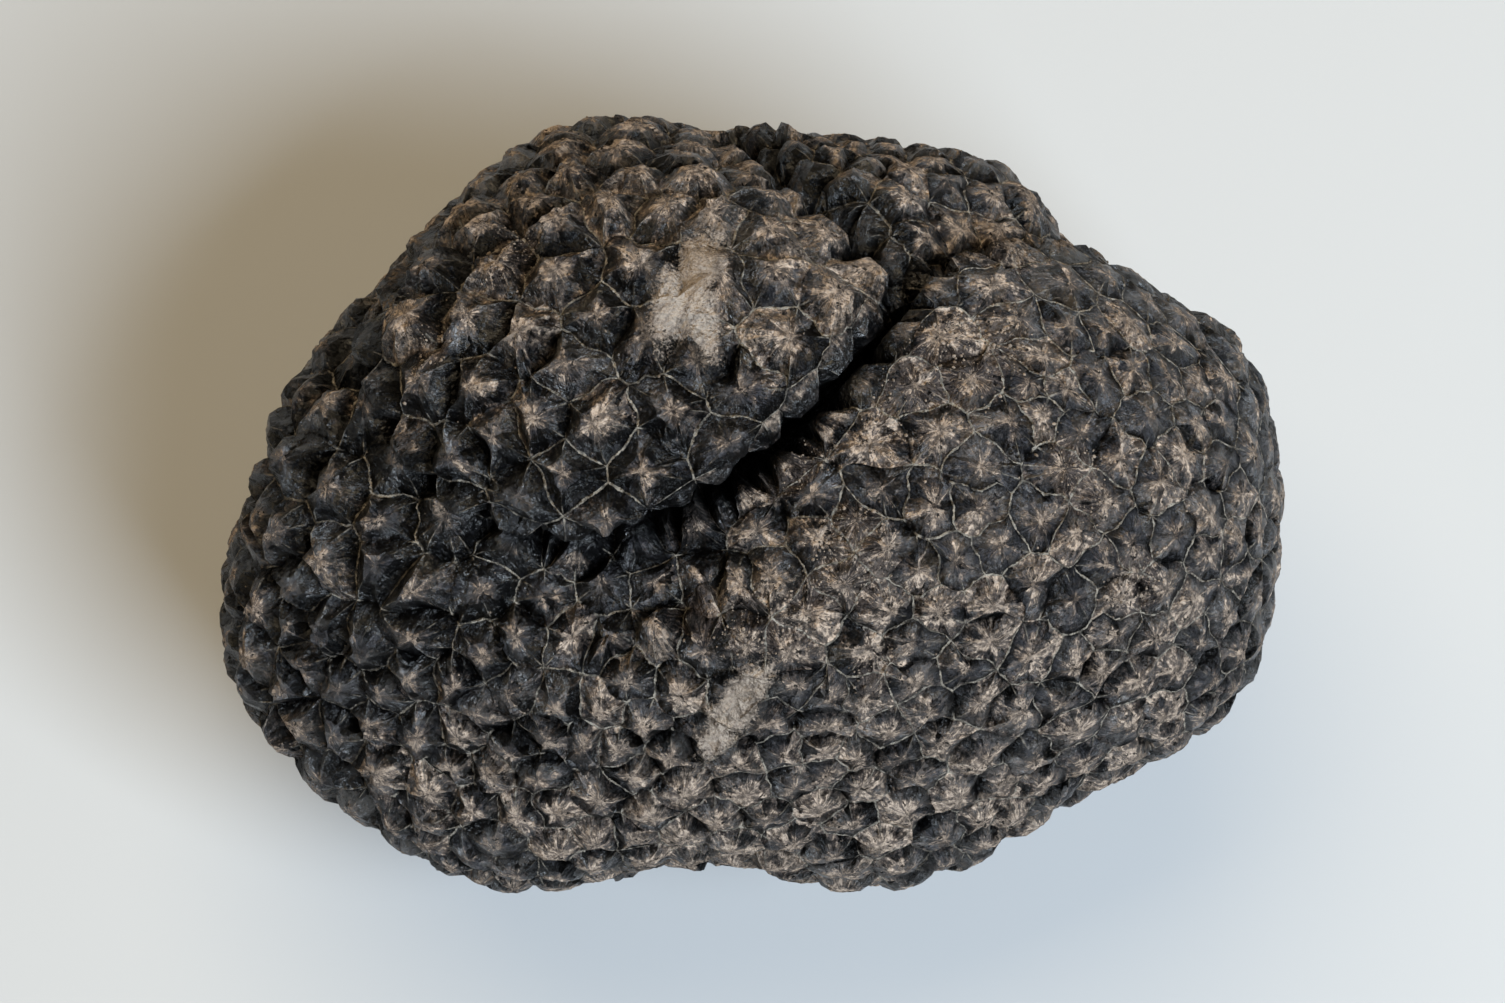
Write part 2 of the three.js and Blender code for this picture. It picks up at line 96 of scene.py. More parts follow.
# Creases between the lobes. A point holds x and y from above, the depth, the lean under
# the far side in degrees, and how much the skin drops on the near and on the far side.
# Zeros at the end of a point are left out, and so is what a plain crease has
creases = {
    "main": {
        "near": 1.3, "far": 2.4, "gap": 1.2, "dropWidth": 7.5, "pairs": True,
        "points": [
            (24.0, 15.6, 0.0), (23.0, 15.0, 2.2, 0, 0.0, 0.6),
            (20.3, 13.0, 3.4, -8, 0.0, 1.6), (15.2, 11.6, 4.0, -14, 0.0, 2.4),
            (11.8, 9.4, 4.8, -10, 0.0, 2.2), (9.8, 6.4, 6.4, 0, 0.2, 1.0),
            (7.2, 2.6, 7.4, 6, 1.0), (3.8, -2.0, 7.8, 12, 2.2),
            (-0.1, -5.6, 7.4, 18, 3.0), (-4.3, -8.0, 6.2, 26, 3.2),
            (-8.9, -9.2, 5.2, 28, 2.8), (-13.7, -8.4, 3.8, 24, 2.0),
            (-18.6, -5.6, 2.4, 20, 1.2), (-22.6, 0.4, 3.0, 20, 1.2),
            (-24.2, 5.2, 3.6, 22, 1.6), (-22.4, 9.4, 3.0, 18, 1.2),
            (-20.8, 12.4, 1.6, 10, 0.8), (-19.8, 15.2, 0.0),
        ],
    },
    "backValley": {
        "near": 3.6, "far": 3.4, "gap": 0.3, "dropWidth": 8.0,
        "points": [
            (9.4, 4.8, 0.0), (9.0, 8.0, 1.6, 0, 1.5), (7.4, 11.6, 2.6, 0, 2.6),
            (3.6, 15.6, 2.6, 0, 2.4), (0.4, 18.8, 2.6, 0, 1.6), (-1.0, 21.0, 0.0, 0, 0.6),
        ],
    },
    "backBump": {
        "near": 2.4, "far": 2.0,
        "points": [(1.6, 17.8, 0.6), (2.6, 16.4, 1.6), (4.7, 15.4, 1.8), (7.2, 16.1, 1.5),
                   (9.2, 17.8, 0.6), (10.0, 19.0, 0.0)],
    },
    "ledge": {
        "near": 3.2, "far": 3.0,
        "points": [(-12.6, -13.6, 0.0), (-8.8, -13.8, 0.8), (-5.0, -12.8, 1.1), (-1.8, -10.6, 1.1),
                   (1.0, -8.2, 0.7), (3.6, -6.4, 0.0)],
    },
    "pocket": {
        "near": 2.2, "far": 2.2,
        "points": [(1.6, -11.8, 0.0), (5.1, -12.3, 0.9), (6.8, -13.8, 0.9), (8.0, -15.1, 0.0)],
    },
    "frontNotch": {
        "upper": False, "near": 4.8, "far": 4.8,
        "points": [(-6.0, -20.6, 0.0), (-3.4, -21.2, 1.8), (-2.4, -20.6, 1.2), (-1.4, -19.6, 0.0)],
    },
}
plainCrease = {"upper": True, "gap": 0.2, "dropWidth": 4.0, "pairs": False}
creases = {name: {**plainCrease, **crease} for name, crease in creases.items()}

half = np.array(body["halfSizes"])


def unit(v):
    return v / np.linalg.norm(v, axis=-1, keepdims=True)


def smoothStep(t):
    c = np.clip(t, 0, 1)
    return c * c * (3 - 2 * c)


def lerp(a, b, t):
    return a + (b - a) * t


# Directions are seen from the middle of the body. This is one on the egg rounded to a ball
def ballDirection(w):
    return unit(w / half)


def bell(facing, way, spread):
    return np.exp((facing @ unit(np.array(way)) - 1) / math.radians(spread) ** 2)


def sumOfBells(facing, bells):
    return sum(amount * bell(facing, way, spread) for way, amount, spread in bells.values())


def acrossDirections(w):
    a = unit(np.cross(w, (0.31, 0.17, 0.93)))
    return a, np.cross(w, a)


def crossOf(surface, w, step):
    a, b = acrossDirections(w)
    alongA = surface(unit(w + a * step)) - surface(unit(w - a * step))
    alongB = surface(unit(w + b * step)) - surface(unit(w - b * step))
    return np.cross(alongA, alongB)


def normalOf(surface, w, step):
    return unit(crossOf(surface, w, step))


def eggPoint(w):
    facing = ballDirection(w)
    return facing * half + unit(facing / half) * sumOfBells(facing, swells)[:, None]


def curveThrough(rows, perSpan):  # a Catmull-Rom curve, run on straight past both ends
    rows = np.vstack([2 * rows[0] - rows[1], rows, 2 * rows[-1] - rows[-2]])
    samples = []
    for a, b, c, d in zip(rows, rows[1:], rows[2:], rows[3:]):
        for t in np.arange(perSpan) / perSpan:
            bend = (2 * a - 5 * b + 4 * c - d) * t * t + (3 * b - a - 3 * c + d) * t**3
            samples.append(0.5 * (2 * b + (c - a) * t + bend))
    return np.array(samples + [rows[-2]])


def layOut(crease):
    rows = []
    for x, y, *values in crease["points"]:
        u, v = x / half[0], y / half[1]
        up = math.sqrt(max(1e-4, 1 - u * u - v * v)) * (1 if crease["upper"] else -1)
        leftOut = [0] * (4 - len(values))
        rows.append([*unit(np.array([u, v, up])), *values, *leftOut])
    samples = curveThrough(np.array(rows), body["samplesPerSpan"])
    crease["direction"] = unit(unit(samples[:, :3]) * half)
    crease["values"] = samples[:, 3:]
    crease["place"] = eggPoint(crease["direction"])
    crease["normal"] = normalOf(eggPoint, crease["direction"], 1e-3)
    order = np.arange(len(samples))
    before, after = np.maximum(order - 1, 0), np.minimum(order + 1, len(samples) - 1)
    along = crease["place"][after] - crease["place"][before]
    crease["toNear"] = unit(np.cross(crease["normal"], along))
    turning = crease["direction"][after] - crease["direction"][before]
    crease["sideways"] = unit(np.cross(crease["direction"], turning))
    crease["middle"] = crease["place"].mean(axis=0)
    furthest = np.linalg.norm(crease["place"] - crease["middle"], axis=1).max()
    crease["reach"] = furthest + body["creaseReach"]


def nearestOn(crease, points):
    a = crease["place"][:-1]
    s = crease["place"][1:] - a
    lengthSq = (s * s).sum(axis=1)
    index = np.zeros(len(points), int)
    part = np.zeros(len(points))
    for start in range(0, len(points), body["pointsAtOnce"]):
        some = slice(start, start + body["pointsAtOnce"])
        p = points[some]
        along = p @ s.T - (a * s).sum(axis=1)
        t = np.clip(along / lengthSq, 0, 1)
        fromStart = (p * p).sum(axis=1)[:, None] - 2 * p @ a.T + (a * a).sum(axis=1)
        best = (fromStart - 2 * t * along + t * t * lengthSq).argmin(axis=1)
        index[some] = best
        part[some] = t[np.arange(len(p)), best]
    part = part[:, None]
    at = {key: lerp(crease[key][index], crease[key][index + 1], part)
          for key in ("place", "direction", "normal", "toNear", "values")}
    for key in ("direction", "normal", "toNear"):
        at[key] = unit(at[key])
    at["distance"] = np.linalg.norm(points - at["place"], axis=1)
    return at


# Skin is drawn in towards a deep crease, so the warts on its lips aren't stretched
def gather(crease, w):
    point = eggPoint(w)
    reach = crease["reach"] + body["gatherReach"]
    near = np.linalg.norm(point - crease["middle"], axis=1) <= reach
    if not near.any():
        return w
    at = nearestOn(crease, point[near])
    share = body["gatherShare"] * smoothStep(at["values"][:, 0] / body["gatherDepth"])
    pull = share * np.exp(-(at["distance"] / body["gatherReach"]) ** 2)
    drawn = w.copy()
    drawn[near] = unit(lerp(w[near], at["direction"], pull[:, None]))
    return drawn


# The skin rolls over the lips of a crease and down its walls
def creaseEffect(crease, egg):
    move, deep = np.zeros_like(egg), np.zeros(len(egg))
    near = np.flatnonzero(np.linalg.norm(egg - crease["middle"], axis=1) <= crease["reach"])
    if not len(near):
        return move, deep
    at = nearestOn(crease, egg[near])
    inReach = at["distance"] <= body["creaseReach"]
    near = near[inReach]
    at = {key: value[inReach] for key, value in at.items()}
    depth, lean, nearDrop, farDrop = at["values"].T
    depth = np.maximum(0, depth)
    away = egg[near] - at["place"]
    away -= at["normal"] * (away * at["normal"]).sum(axis=1)[:, None]
    across = np.linalg.norm(away, axis=1)
    onNearSide = (away * at["toNear"]).sum(axis=1) > 0
    away /= np.maximum(across, 1e-9)[:, None]

    width = np.where(onNearSide, crease["near"], crease["far"])
    t = np.minimum(1, across / width)
    turn = (t + body["lipEase"] * t * (1 - t)) * math.pi / 2
    deeper = smoothStep((depth - body["deepGapFrom"]) / body["deepGapRamp"])
    gap = crease["gap"] + body["deepGap"] * deeper
    openBy = gap / 2 * np.minimum(1, across / body["gapRamp"]) * np.cos(turn)
    rolledTo = np.where(across < width, width * (1 - np.cos(turn)) + openBy, across)
    sink = np.where(across < width, depth * (1 - np.sin(turn)), 0)
    drop = np.where(onNearSide, nearDrop, farDrop) * (1 - smoothStep(across / crease["dropWidth"]))
    lean = np.radians(lean)
    rolled = (rolledTo - across) * smoothStep(depth / body["fullRollDepth"])
    shift = away * rolled[:, None] - at["normal"] * (sink * np.cos(lean) + drop)[:, None]
    move[near] = shift - at["toNear"] * (sink * np.sin(lean))[:, None]
    deep[near] = (1 - smoothStep(across / width)) * smoothStep(depth / body["fullShadeDepth"])
    return move, deep


def skin(w):
    for crease in creases.values():
        w = gather(crease, w)
    egg = eggPoint(w)
    point, deepest = egg.copy(), np.zeros(len(w))
    for crease in creases.values():
        move, deep = creaseEffect(crease, egg)
        point += move
        deepest = np.maximum(deepest, deep)
    return point, deepest


def skinPoint(w):
    return skin(w)[0]


for crease in creases.values():
    layOut(crease)
print("creases laid out")


# The warts, in millimetres: where they stand, and their size and height as in the CAD solid
warts = {
    "size": 3.75,
    "closest": 0.72,
    "spread": 0.22,
    "height": 0.27,
    "top": 0.44,             # width of the top as a share of the foot
    "shortestFootEdge": 0.6,
    "deepFlattening": 0.9,
    "scarLevel": 0.72,       # height of a scar's floor as a share of a wart's
    "seed": 20817,
    "darts": 14000,
    "pairStep": 0.15,
    "pairOffset": 0.04,
    "scaleStep": 0.01,
    "wartStep": 0.03,
    "borderSpacing": 0.465,  # between the mesh points along a wart's foot
    "borderWave": 0.14,      # how far the foot lines wander
    "waveShares": (0.6, 0.5, 0.35),  # of a bow, a twist and a ripple in it
    "longestWave": 2,        # the length in millimetres past which they wander no further
    "lineHalfWidth": 0.11,   # of the pale line between two warts
    "lineBand": (0.80, 0.97),
    "ridgeWidth": 0.5,       # of the ridges that run up from a foot's corners
    "patternsApart": 30,     # so that no two warts share their furrows
    "grooved": 0.26,         # share of foot lines that are dark grooves
    "grooveOnNet": 0.4,      # how much of that share is left where pale lines are commonest
    "grooveStrengths": (0.5, 1.0),
    "joined": 0.18,          # share where two warts have grown together
    "joinedOnNet": 0.5,
    "joinStrengths": (0.4, 1.0),
    "netFaces": (0.28, 0.0, 0.95),    # where pale lines are commonest
    "netSpread": 46,
    "bands": (0.74, 0.44),   # mesh rings up a wart's sides, as shares of the foot
    "tipBands": (0.29, 0.14),
    "sharpTops": 0.6,        # share of warts with a sharp rim round the top
}

# Where warts are coarser or finer: the way it faces, the share, the spread in degrees
coarseness = {
    "upperLeftLobe": ((-0.25, 0.30, 0.92), 0.22, 26),
    "leftEnd": ((-0.85, -0.25, 0.45), 0.14, 22),
    "backRightLobe": ((0.42, 0.75, 0.50), -0.26, 18),
    "front": ((0.10, -0.80, 0.55), -0.22, 34),
    "rightEnd": ((0.96, -0.05, 0.30), -0.14, 22),
    "leftSide": ((-0.98, 0.05, 0.05), -0.30, 24),
    "backSide": ((-0.35, 0.92, 0.15), -0.20, 24),
    "leftFoot": ((-0.55, -0.80, -0.10), -0.14, 24),
    "underside": ((0, 0, -1), 0.26, 45),
}

# Patches of the upper skin: bald scars, their pale middles and crumbly brown crusts. Each has
# the width of its blend, then x and y of the middle, half length, half width, turn in degrees
patches = {
    "scar": (0.25, (-4.3, 5.6, 3.7, 1.5, 72), (-3.0, 2.9, 2.3, 0.9, 106), (-0.8, -16.9, 3.0, 1.25, 40)),
    "pale": (0.60, (-3.7, 5.5, 3.7, 1.35, 62), (-2.8, 3.5, 1.9, 0.8, 102), (-0.8, -16.9, 2.9, 1.0, 42)),
    "crust": (
        0.50, (-1.0, -5.8, 2.2, 1.1, 20), (-3.6, -8.4, 2.0, 1.0, 30), (2.6, -5.4, 3.0, 1.6, 35),
        (6.4, -9.6, 2.8, 2.0, 80), (5.0, -11.6, 2.0, 1.2, 10), (1.4, -13.1, 2.6, 1.4, 25),
        (7.4, -14.8, 1.8, 1.0, 70), (12.6, 1.6, 4.2, 2.6, 40), (19.0, -4.0, 2.6, 1.6, 120),
        (-2.7, -13.2, 2.0, 1.1, 14), (0.4, 18.6, 1.4, 0.9, 60), (-17.6, 3.6, 1.6, 0.9, 60),
        (14.8, 9.4, 2.4, 1.2, 160), (8.6, -2.4, 1.8, 1.2, 90), (-13.6, 8.2, 2.2, 1.4, 70),
        (22.6, -9.0, 2.0, 1.4, 60),
    ),
}

# Where warts stand higher or lower than in the CAD solid, given like the coarseness
wartLevels = {
    "rightEnd": ((0.95, -0.10, 0.30), -0.46, 38),
    "rightTop": ((0.45, -0.05, 0.88), -0.50, 30),
    "leftEnd": ((-0.75, -0.35, 0.55), 0.25, 26),
    "frontFoot": ((0.20, -0.90, 0.25), -0.15, 26),
}

# Where tips are worn more or less than elsewhere, given like the coarseness; below the upper lobe the
# less worn, darker tips are painted shade
wear = {
    "leftEnd": ((-0.80, -0.30, 0.45), -0.34, 30),
    # painted shade: darker tips below the upper lobe
    "belowLobe": ((-0.26, -0.30, 0.90), -0.42, 15),
    "lobeTop": ((-0.20, 0.40, 0.88), 0.32, 24),
    "rightTop": ((0.45, 0.05, 0.90), -0.02, 26),
    "rightEnd": ((0.95, -0.20, 0.25), -0.08, 28),
    "frontFoot": ((0.10, -0.90, 0.25), 0.32, 30),
}


def coarsenessAt(w):
    return 1 + sumOfBells(ballDirection(w), coarseness)


def skinScale(w):  # millimetres of skin for each radian of direction
    area = np.linalg.norm(crossOf(skinPoint, w, warts["scaleStep"]), axis=1)
    return np.sqrt(area) / (2 * warts["scaleStep"])


def patchAt(w, name):  # 1 inside the patches, 0 outside them
    facing = ballDirection(w)
    most = np.zeros(len(w))
    blend, *places = patches[name]
    for middleX, middleY, halfLength, halfWidth, turn in places:
        x = facing[:, 0] * half[0] - middleX
        y = facing[:, 1] * half[1] - middleY
        cos, sin = math.cos(math.radians(turn)), math.sin(math.radians(turn))
        along = (x * cos + y * sin) / halfLength
        across = (y * cos - x * sin) / halfWidth
        out = (np.hypot(along, across) - 1 + blend) / (2 * blend)
        most = np.maximum(most, 1 - smoothStep(out))
    return np.where(w[:, 2] < 0, 0, most)


def liftAt(w):  # how far the floor of a scar stands above the skin
    return patchAt(w, "scar") * warts["scarLevel"] * warts["height"] * warts["size"]


def evenNumbers(seed, count):  # from 0 to 1, the same in every run
    state = (seed + 0x6D2B79F5 * np.arange(1, count + 1, dtype=np.uint64)).astype(np.uint32)
    t = (state ^ (state >> 15)) * (state | 1)
    t = (t + (t ^ (t >> 7)) * (t | 61)) ^ t
    return (t ^ (t >> 14)) / 2**32


def scatterSeeds():
    seeds, rooms = [], []
    for crease in creases.values():
        if not crease["pairs"]:
            continue
        walked = warts["pairStep"]
        for i, way in enumerate(crease["direction"]):
            if i:
                walked += np.linalg.norm(way - crease["direction"][i - 1])
            if walked < warts["pairStep"]:
                continue
            walked = 0
            for side in (warts["pairOffset"], -warts["pairOffset"]):
                seeds.append(unit(way + crease["sideways"][i] * side))
                rooms.append(warts["pairStep"])
    z, turn, own = evenNumbers(warts["seed"], 3 * warts["darts"]).reshape(-1, 3).T
    z = 2 * z - 1
    flat = np.sqrt(1 - z * z)
    darts = np.column_stack([flat * np.cos(2 * math.pi * turn), flat * np.sin(2 * math.pi * turn), z])
    own = 1 + warts["spread"] * (2 * own - 1)
    dartRooms = warts["size"] * own * coarsenessAt(darts) / skinScale(darts)
    count = len(seeds)
    seeds = np.array(seeds + [np.zeros(3)] * len(darts))
    rooms = np.array(rooms + [0] * len(darts))
    for dart, room in zip(darts, dartRooms):
        apart = np.linalg.norm(seeds[:count] - dart, axis=1)
        if (apart > warts["closest"] * 0.5 * (rooms[:count] + room)).all():
            seeds[count] = dart
            rooms[count] = room
            count += 1
    return seeds[:count]


# Cells round the seeds. Their corners are the normals of the faces of the seeds' hull,
# and corners that nearly touch are made one
def cellsRound(seeds):
    hull = bmesh.new()
    for seed in seeds:
        hull.verts.new(seed)
    hull.verts.index_update()
    bmesh.ops.convex_hull(hull, input=hull.verts)
    bmesh.ops.triangulate(hull, faces=hull.faces)
    hull.faces.index_update()
    faces = np.array([[vert.index for vert in face.verts] for face in hull.faces])
    twins = [[face.index for face in edge.link_faces] for edge in hull.edges if edge.is_manifold]
    hull.free()

    a, b, c = seeds[faces].transpose(1, 0, 2)
    normals = unit(np.cross(b - a, c - a))
    normals *= np.sign((normals * a).sum(axis=1))[:, None]
    places = skinPoint(normals)
    group = list(range(len(faces)))

    def root(i):
        while group[i] != i:
            i = group[i]
        return i

    for i, j in twins:
        if np.linalg.norm(places[i] - places[j]) < warts["shortestFootEdge"]:
            group[root(max(i, j))] = root(min(i, j))
    roots = np.array([root(i) for i in range(len(faces))])
    merged, cornerOf = np.unique(roots, return_inverse=True)
    corners = np.zeros((len(merged), 3))
    np.add.at(corners, cornerOf, normals)

    around = [[] for _ in seeds]
    for i, face in enumerate(faces):
        for seed in face:
            around[seed].append(i)
    acrossA, acrossB = acrossDirections(seeds)
    cells = []
    for i, ring in enumerate(around):
        ring = np.array(ring)
        angles = np.arctan2(normals[ring] @ acrossB[i], normals[ring] @ acrossA[i])
        ring = cornerOf[ring[angles.argsort()]]
        cells.append([int(corner) for corner in ring[ring != np.roll(ring, -1)]])
    return cells, unit(corners)


seeds = scatterSeeds()
cells, corners = cellsRound(seeds)
print(len(seeds), "warts on", len(corners), "corners")


# The CAD solid's own points, for its place in the frame
def coarseWarts():
    upright = normalOf(skinPoint, corners, warts["wartStep"])
    feet = skinPoint(corners) + upright * liftAt(corners)[:, None]
    deep = skin(seeds)[1]
    upright = normalOf(skinPoint, seeds, warts["wartStep"])
    outward = lerp(upright, normalOf(eggPoint, seeds, warts["wartStep"]), deep[:, None])
    area = []
    for cell in cells:
        p = feet[cell] - feet[cell[0]]
        area.append(np.linalg.norm(np.cross(p, np.roll(p, -1, axis=0)), axis=1).sum() / 2)
    shrink = (1 - warts["deepFlattening"] * deep) * lerp(1, warts["scarLevel"], patchAt(seeds, "scar"))
    height = warts["height"] * np.sqrt(area) * coarsenessAt(seeds) * shrink
    owner = np.repeat(np.arange(len(cells)), [len(cell) for cell in cells])
    way = unit(lerp(seeds[owner], corners[np.concatenate(cells)], warts["top"]))
    tops = skinPoint(way) + outward[owner] * height[owner][:, None]
    points = np.vstack([feet, tops])
    floor = skinPoint(np.array([[0.0, 0.0, -1.0]]))[0, 2] + body["restHeight"]
    points[:, 2] = np.maximum(points[:, 2], floor)
    low, high = points.min(axis=0), points.max(axis=0)
    return outward, height, -np.array([(low[0] + high[0]) / 2, (low[1] + high[1]) / 2, low[2]])


outward, height, toOrigin = coarseWarts()
print("warts measured, the middle moves by", np.round(toOrigin, 2), "mm")


# Points along the foot lines, which two neighbouring warts share
def footLines(random):
    places = skinPoint(corners)
    net = bell(ballDirection(corners), warts["netFaces"], warts["netSpread"])
    lines, directions, count = {}, [corners], len(corners)
    seams = [np.zeros(count)]
    for cell in cells:
        for ends in zip(cell, cell[1:] + cell[:1]):
            start, end = sorted(ends)
            if (start, end) in lines:
                continue
            length = np.linalg.norm(places[end] - places[start])
            parts = 2 * max(1, round(length / (2 * warts["borderSpacing"])))
            t = np.arange(1, parts)[:, None] / parts
            straight = corners[end] - corners[start]
            sideways = unit(np.cross(corners[start] + corners[end], straight))
            bow, twist, ripple = random.normal(size=3) * warts["waveShares"]
            wave = bow * np.sin(math.pi * t) + twist * np.sin(2 * math.pi * t)
            wave += ripple * np.sin(3 * math.pi * t)
            perRadian = length / np.linalg.norm(straight)
            wave *= warts["borderWave"] * min(warts["longestWave"], length / 2) / perRadian
            directions.append(unit(corners[start] + straight * t + sideways * wave))
            lines[start, end] = count + np.arange(parts - 1)
            count += parts - 1
            draw, strength = random.random(2)
            plain = 1 - net[start]
            if draw < warts["grooved"] * (warts["grooveOnNet"] + plain):
                seam = -lerp(*warts["grooveStrengths"], strength)
            elif draw > 1 - warts["joined"] * (warts["joinedOnNet"] + plain):
                seam = lerp(*warts["joinStrengths"], strength)
            else:
                seam = 0
            seams.append(seam * np.sin(math.pi * t[:, 0]) ** 0.5)
    return lines, np.vstack(directions), np.concatenate(seams)


def footLoop(cell, lines):  # the points round a wart's foot, and where its corners are among them
    loop, cornerSpots = [], []
    for start, end in zip(cell, cell[1:] + cell[:1]):
        cornerSpots.append(len(loop))
        line = lines[min(start, end), max(start, end)]
        loop += [start, *(line if start < end else line[::-1])]
    return np.array(loop), cornerSpots


def strip(outer, inner):
    outerNext, innerNext = np.roll(outer, -1), np.roll(inner, -1)
    return [*zip(outer, outerNext, innerNext), *zip(outer, innerNext, inner)]


def narrowingStrip(outer, inner):  # from a ring to one with half as many points
    even, odd = outer[::2], outer[1::2]
    evenNext, innerNext = np.roll(even, -1), np.roll(inner, -1)
    return [*zip(even, odd, inner), *zip(odd, innerNext, inner), *zip(odd, evenNext, innerNext)]


def wartFaces(rings, tip):
    made = []
    for outer, inner in zip(rings, rings[1:]):
        made += (strip if len(outer) == len(inner) else narrowingStrip)(outer, inner)
    made += [(a, b, tip) for a, b in zip(rings[-1], np.roll(rings[-1], -1))]
    return np.array(made)


def sharpEdges(rings, cornerSpots, rimmed):  # ridges from the corners up, the foot, and a rimmed top
    sides = [np.column_stack([a[cornerSpots], b[cornerSpots]]) for a, b in zip(rings[:3], rings[1:4])]
    rounds = rings[:1] + (rings[3:4] if rimmed else [])
    return np.vstack(sides + [np.column_stack([ring, np.roll(ring, -1)]) for ring in rounds])


# Every wart as rings of points, from its foot line in to its tip
def fineWarts():
    random = np.random.default_rng(warts["seed"])
    lines, footDirections, footSeams = footLines(random)
    footPlaces, seedPlaces = skinPoint(footDirections), skinPoint(seeds)
    acrossA, acrossB = acrossDirections(seeds)
    tones = random.random((len(cells), 3))
    count = len(footDirections)
    directions, owners, triangles, faceOwners, bearings, sharp = [footDirections], [], [], [], [], []
    keys = ("climb", "inward", "edge", "ridge", "tilt", "seam")
    values = {key: [np.zeros(count)] for key in keys}
    values["seam"] = [footSeams]
    footOutward, footHeight = np.zeros((count, 3)), np.zeros((count, 2))
    for i, cell in enumerate(cells):
        loop, cornerSpots = footLoop(cell, lines)
        size = len(loop)
        footOutward[loop] += outward[i]
        footHeight[loop] += (height[i], 1)
        reach = np.linalg.norm(footPlaces[loop] - seedPlaces[i], axis=1)
        steps = np.abs(np.arange(size)[:, None] - cornerSpots)
        fromCorner = np.minimum(steps, size - steps).min(axis=1) * warts["borderSpacing"]
        ridge = np.exp(-(fromCorner / warts["ridgeWidth"]) ** 2)
        angle = np.arctan2(footDirections[loop] @ acrossB[i], footDirections[loop] @ acrossA[i])
        own = warts["patternsApart"] * tones[i, 0]
        bearing = np.column_stack([np.cos(angle), np.sin(angle), np.full(size, own)])
        slope = bearing[:, :2] @ random.uniform(-1, 1, 2)

        bands = [np.clip(1 - warts["lineHalfWidth"] / reach, *warts["lineBand"])]
        bands += [np.full(size, share) for share in warts["bands"]]
        bands += [np.full(size // 2, share) for share in warts["tipBands"]]
        rings, ringBearings, tip = [np.arange(size)], [bearing], size
        for shares in bands:
            rays = slice(None) if len(shares) == size else slice(None, None, 2)
            directions.append(unit(lerp(seeds[i], footDirections[loop][rays], shares[:, None])))
            climb = np.minimum(1, (1 - shares) / (1 - warts["top"]))
            inward = np.maximum(0, 1 - shares / warts["top"])
            edge, tilt = (1 - shares) * reach[rays], slope[rays] * shares
            for key, value in zip(keys, (climb, inward, edge, ridge[rays], tilt, footSeams[loop][rays])):
                values[key].append(value)
            ringBearings.append(bearing[rays])
            rings.append(tip + np.arange(len(shares)))
            tip += len(shares)
        directions.append(seeds[i:i + 1])
        for key, value in zip(keys, (1, 1, reach.mean(), 0, 0, 0)):
            values[key].append(np.array([value]))
        ringBearings.append(np.array([[0, 0, own]]))

        made = wartFaces(rings, tip)
        toAll = np.concatenate([loop, count + np.arange(tip + 1 - size)])
        triangles.append(toAll[made])
        sharp.append(toAll[sharpEdges(rings, cornerSpots, tones[i, 2] < warts["sharpTops"])])
        bearings.append(np.vstack(ringBearings)[made].reshape(-1, 3))
        owners += [i] * (tip + 1 - size)
        faceOwners += [i] * len(made)
        count += tip + 1 - size

    directions = np.vstack(directions)
    places, deep = skin(directions)
    facing = ballDirection(directions)
    wartHeight = np.concatenate([footHeight[:, 0] / footHeight[:, 1], height[owners]])
    return {
        "directions": directions,
        "points": (places + toOrigin) * mm,
        "triangles": np.vstack(triangles),
        "sharp": np.vstack(sharp),
        "faceTones": tones[faceOwners],
        "faceSeeds": seeds[faceOwners],
        "bearing": np.vstack(bearings),
        "outward": np.vstack([unit(footOutward), outward[owners]]),
        "wartHeight": wartHeight * (1 + sumOfBells(facing, wartLevels)) * mm,
        "lift": liftAt(directions) * mm,
        "deep": deep,
        "net": bell(facing, warts["netFaces"], warts["netSpread"]),
        "wear": sumOfBells(facing, wear),
        **{name: patchAt(directions, name) for name in patches},
        **{key: np.concatenate(value) for key, value in values.items()},
    }


# Each wart lies whole on one of six charts, in two rows, as on the sides of a cube
def bakeMap(made):
    seedFacing = ballDirection(made["faceSeeds"])
    axis = np.abs(seedFacing).argmax(axis=1)
    side = np.sign(seedFacing[np.arange(len(axis)), axis])
    facing = ballDirection(made["directions"])[made["triangles"]]
    rows = np.arange(len(axis))[:, None]
    forward = facing[rows, np.arange(3), axis[:, None]] * side[:, None]
    across = facing[rows, np.arange(3), (axis[:, None] + 1) % 3] * side[:, None]
    up = facing[rows, np.arange(3), (axis[:, None] + 2) % 3]
    chart = np.stack([np.arctan2(across, forward), np.arctan2(up, forward)], axis=-1)
    chart /= np.abs(chart).max() * 2.04  # with a narrow margin round it
    chart[..., 0] = (chart[..., 0] + 0.5 + axis[:, None]) / 3
    chart[..., 1] = (chart[..., 1] + 0.5 + (side[:, None] > 0)) / 2
    return chart.reshape(-1, 2)


def addAttribute(mesh, name, kind, domain, values):
    attribute = mesh.attributes.new(name, kind, domain)
    field = "value" if kind == "FLOAT" else "vector"
    attribute.data.foreach_set(field, np.asarray(values, np.float32).ravel())


def markSharp(mesh, pairs):
    ends = np.empty(2 * len(mesh.edges), np.int64)
    mesh.edges.foreach_get("vertices", ends)
    count = len(mesh.vertices)
    keys = [np.sort(pairs.reshape(-1, 2), axis=1) @ (count, 1) for pairs in (ends, pairs)]
    attribute = mesh.attributes.new("sharp_edge", "BOOLEAN", "EDGE")
    attribute.data.foreach_set("value", np.isin(*keys))


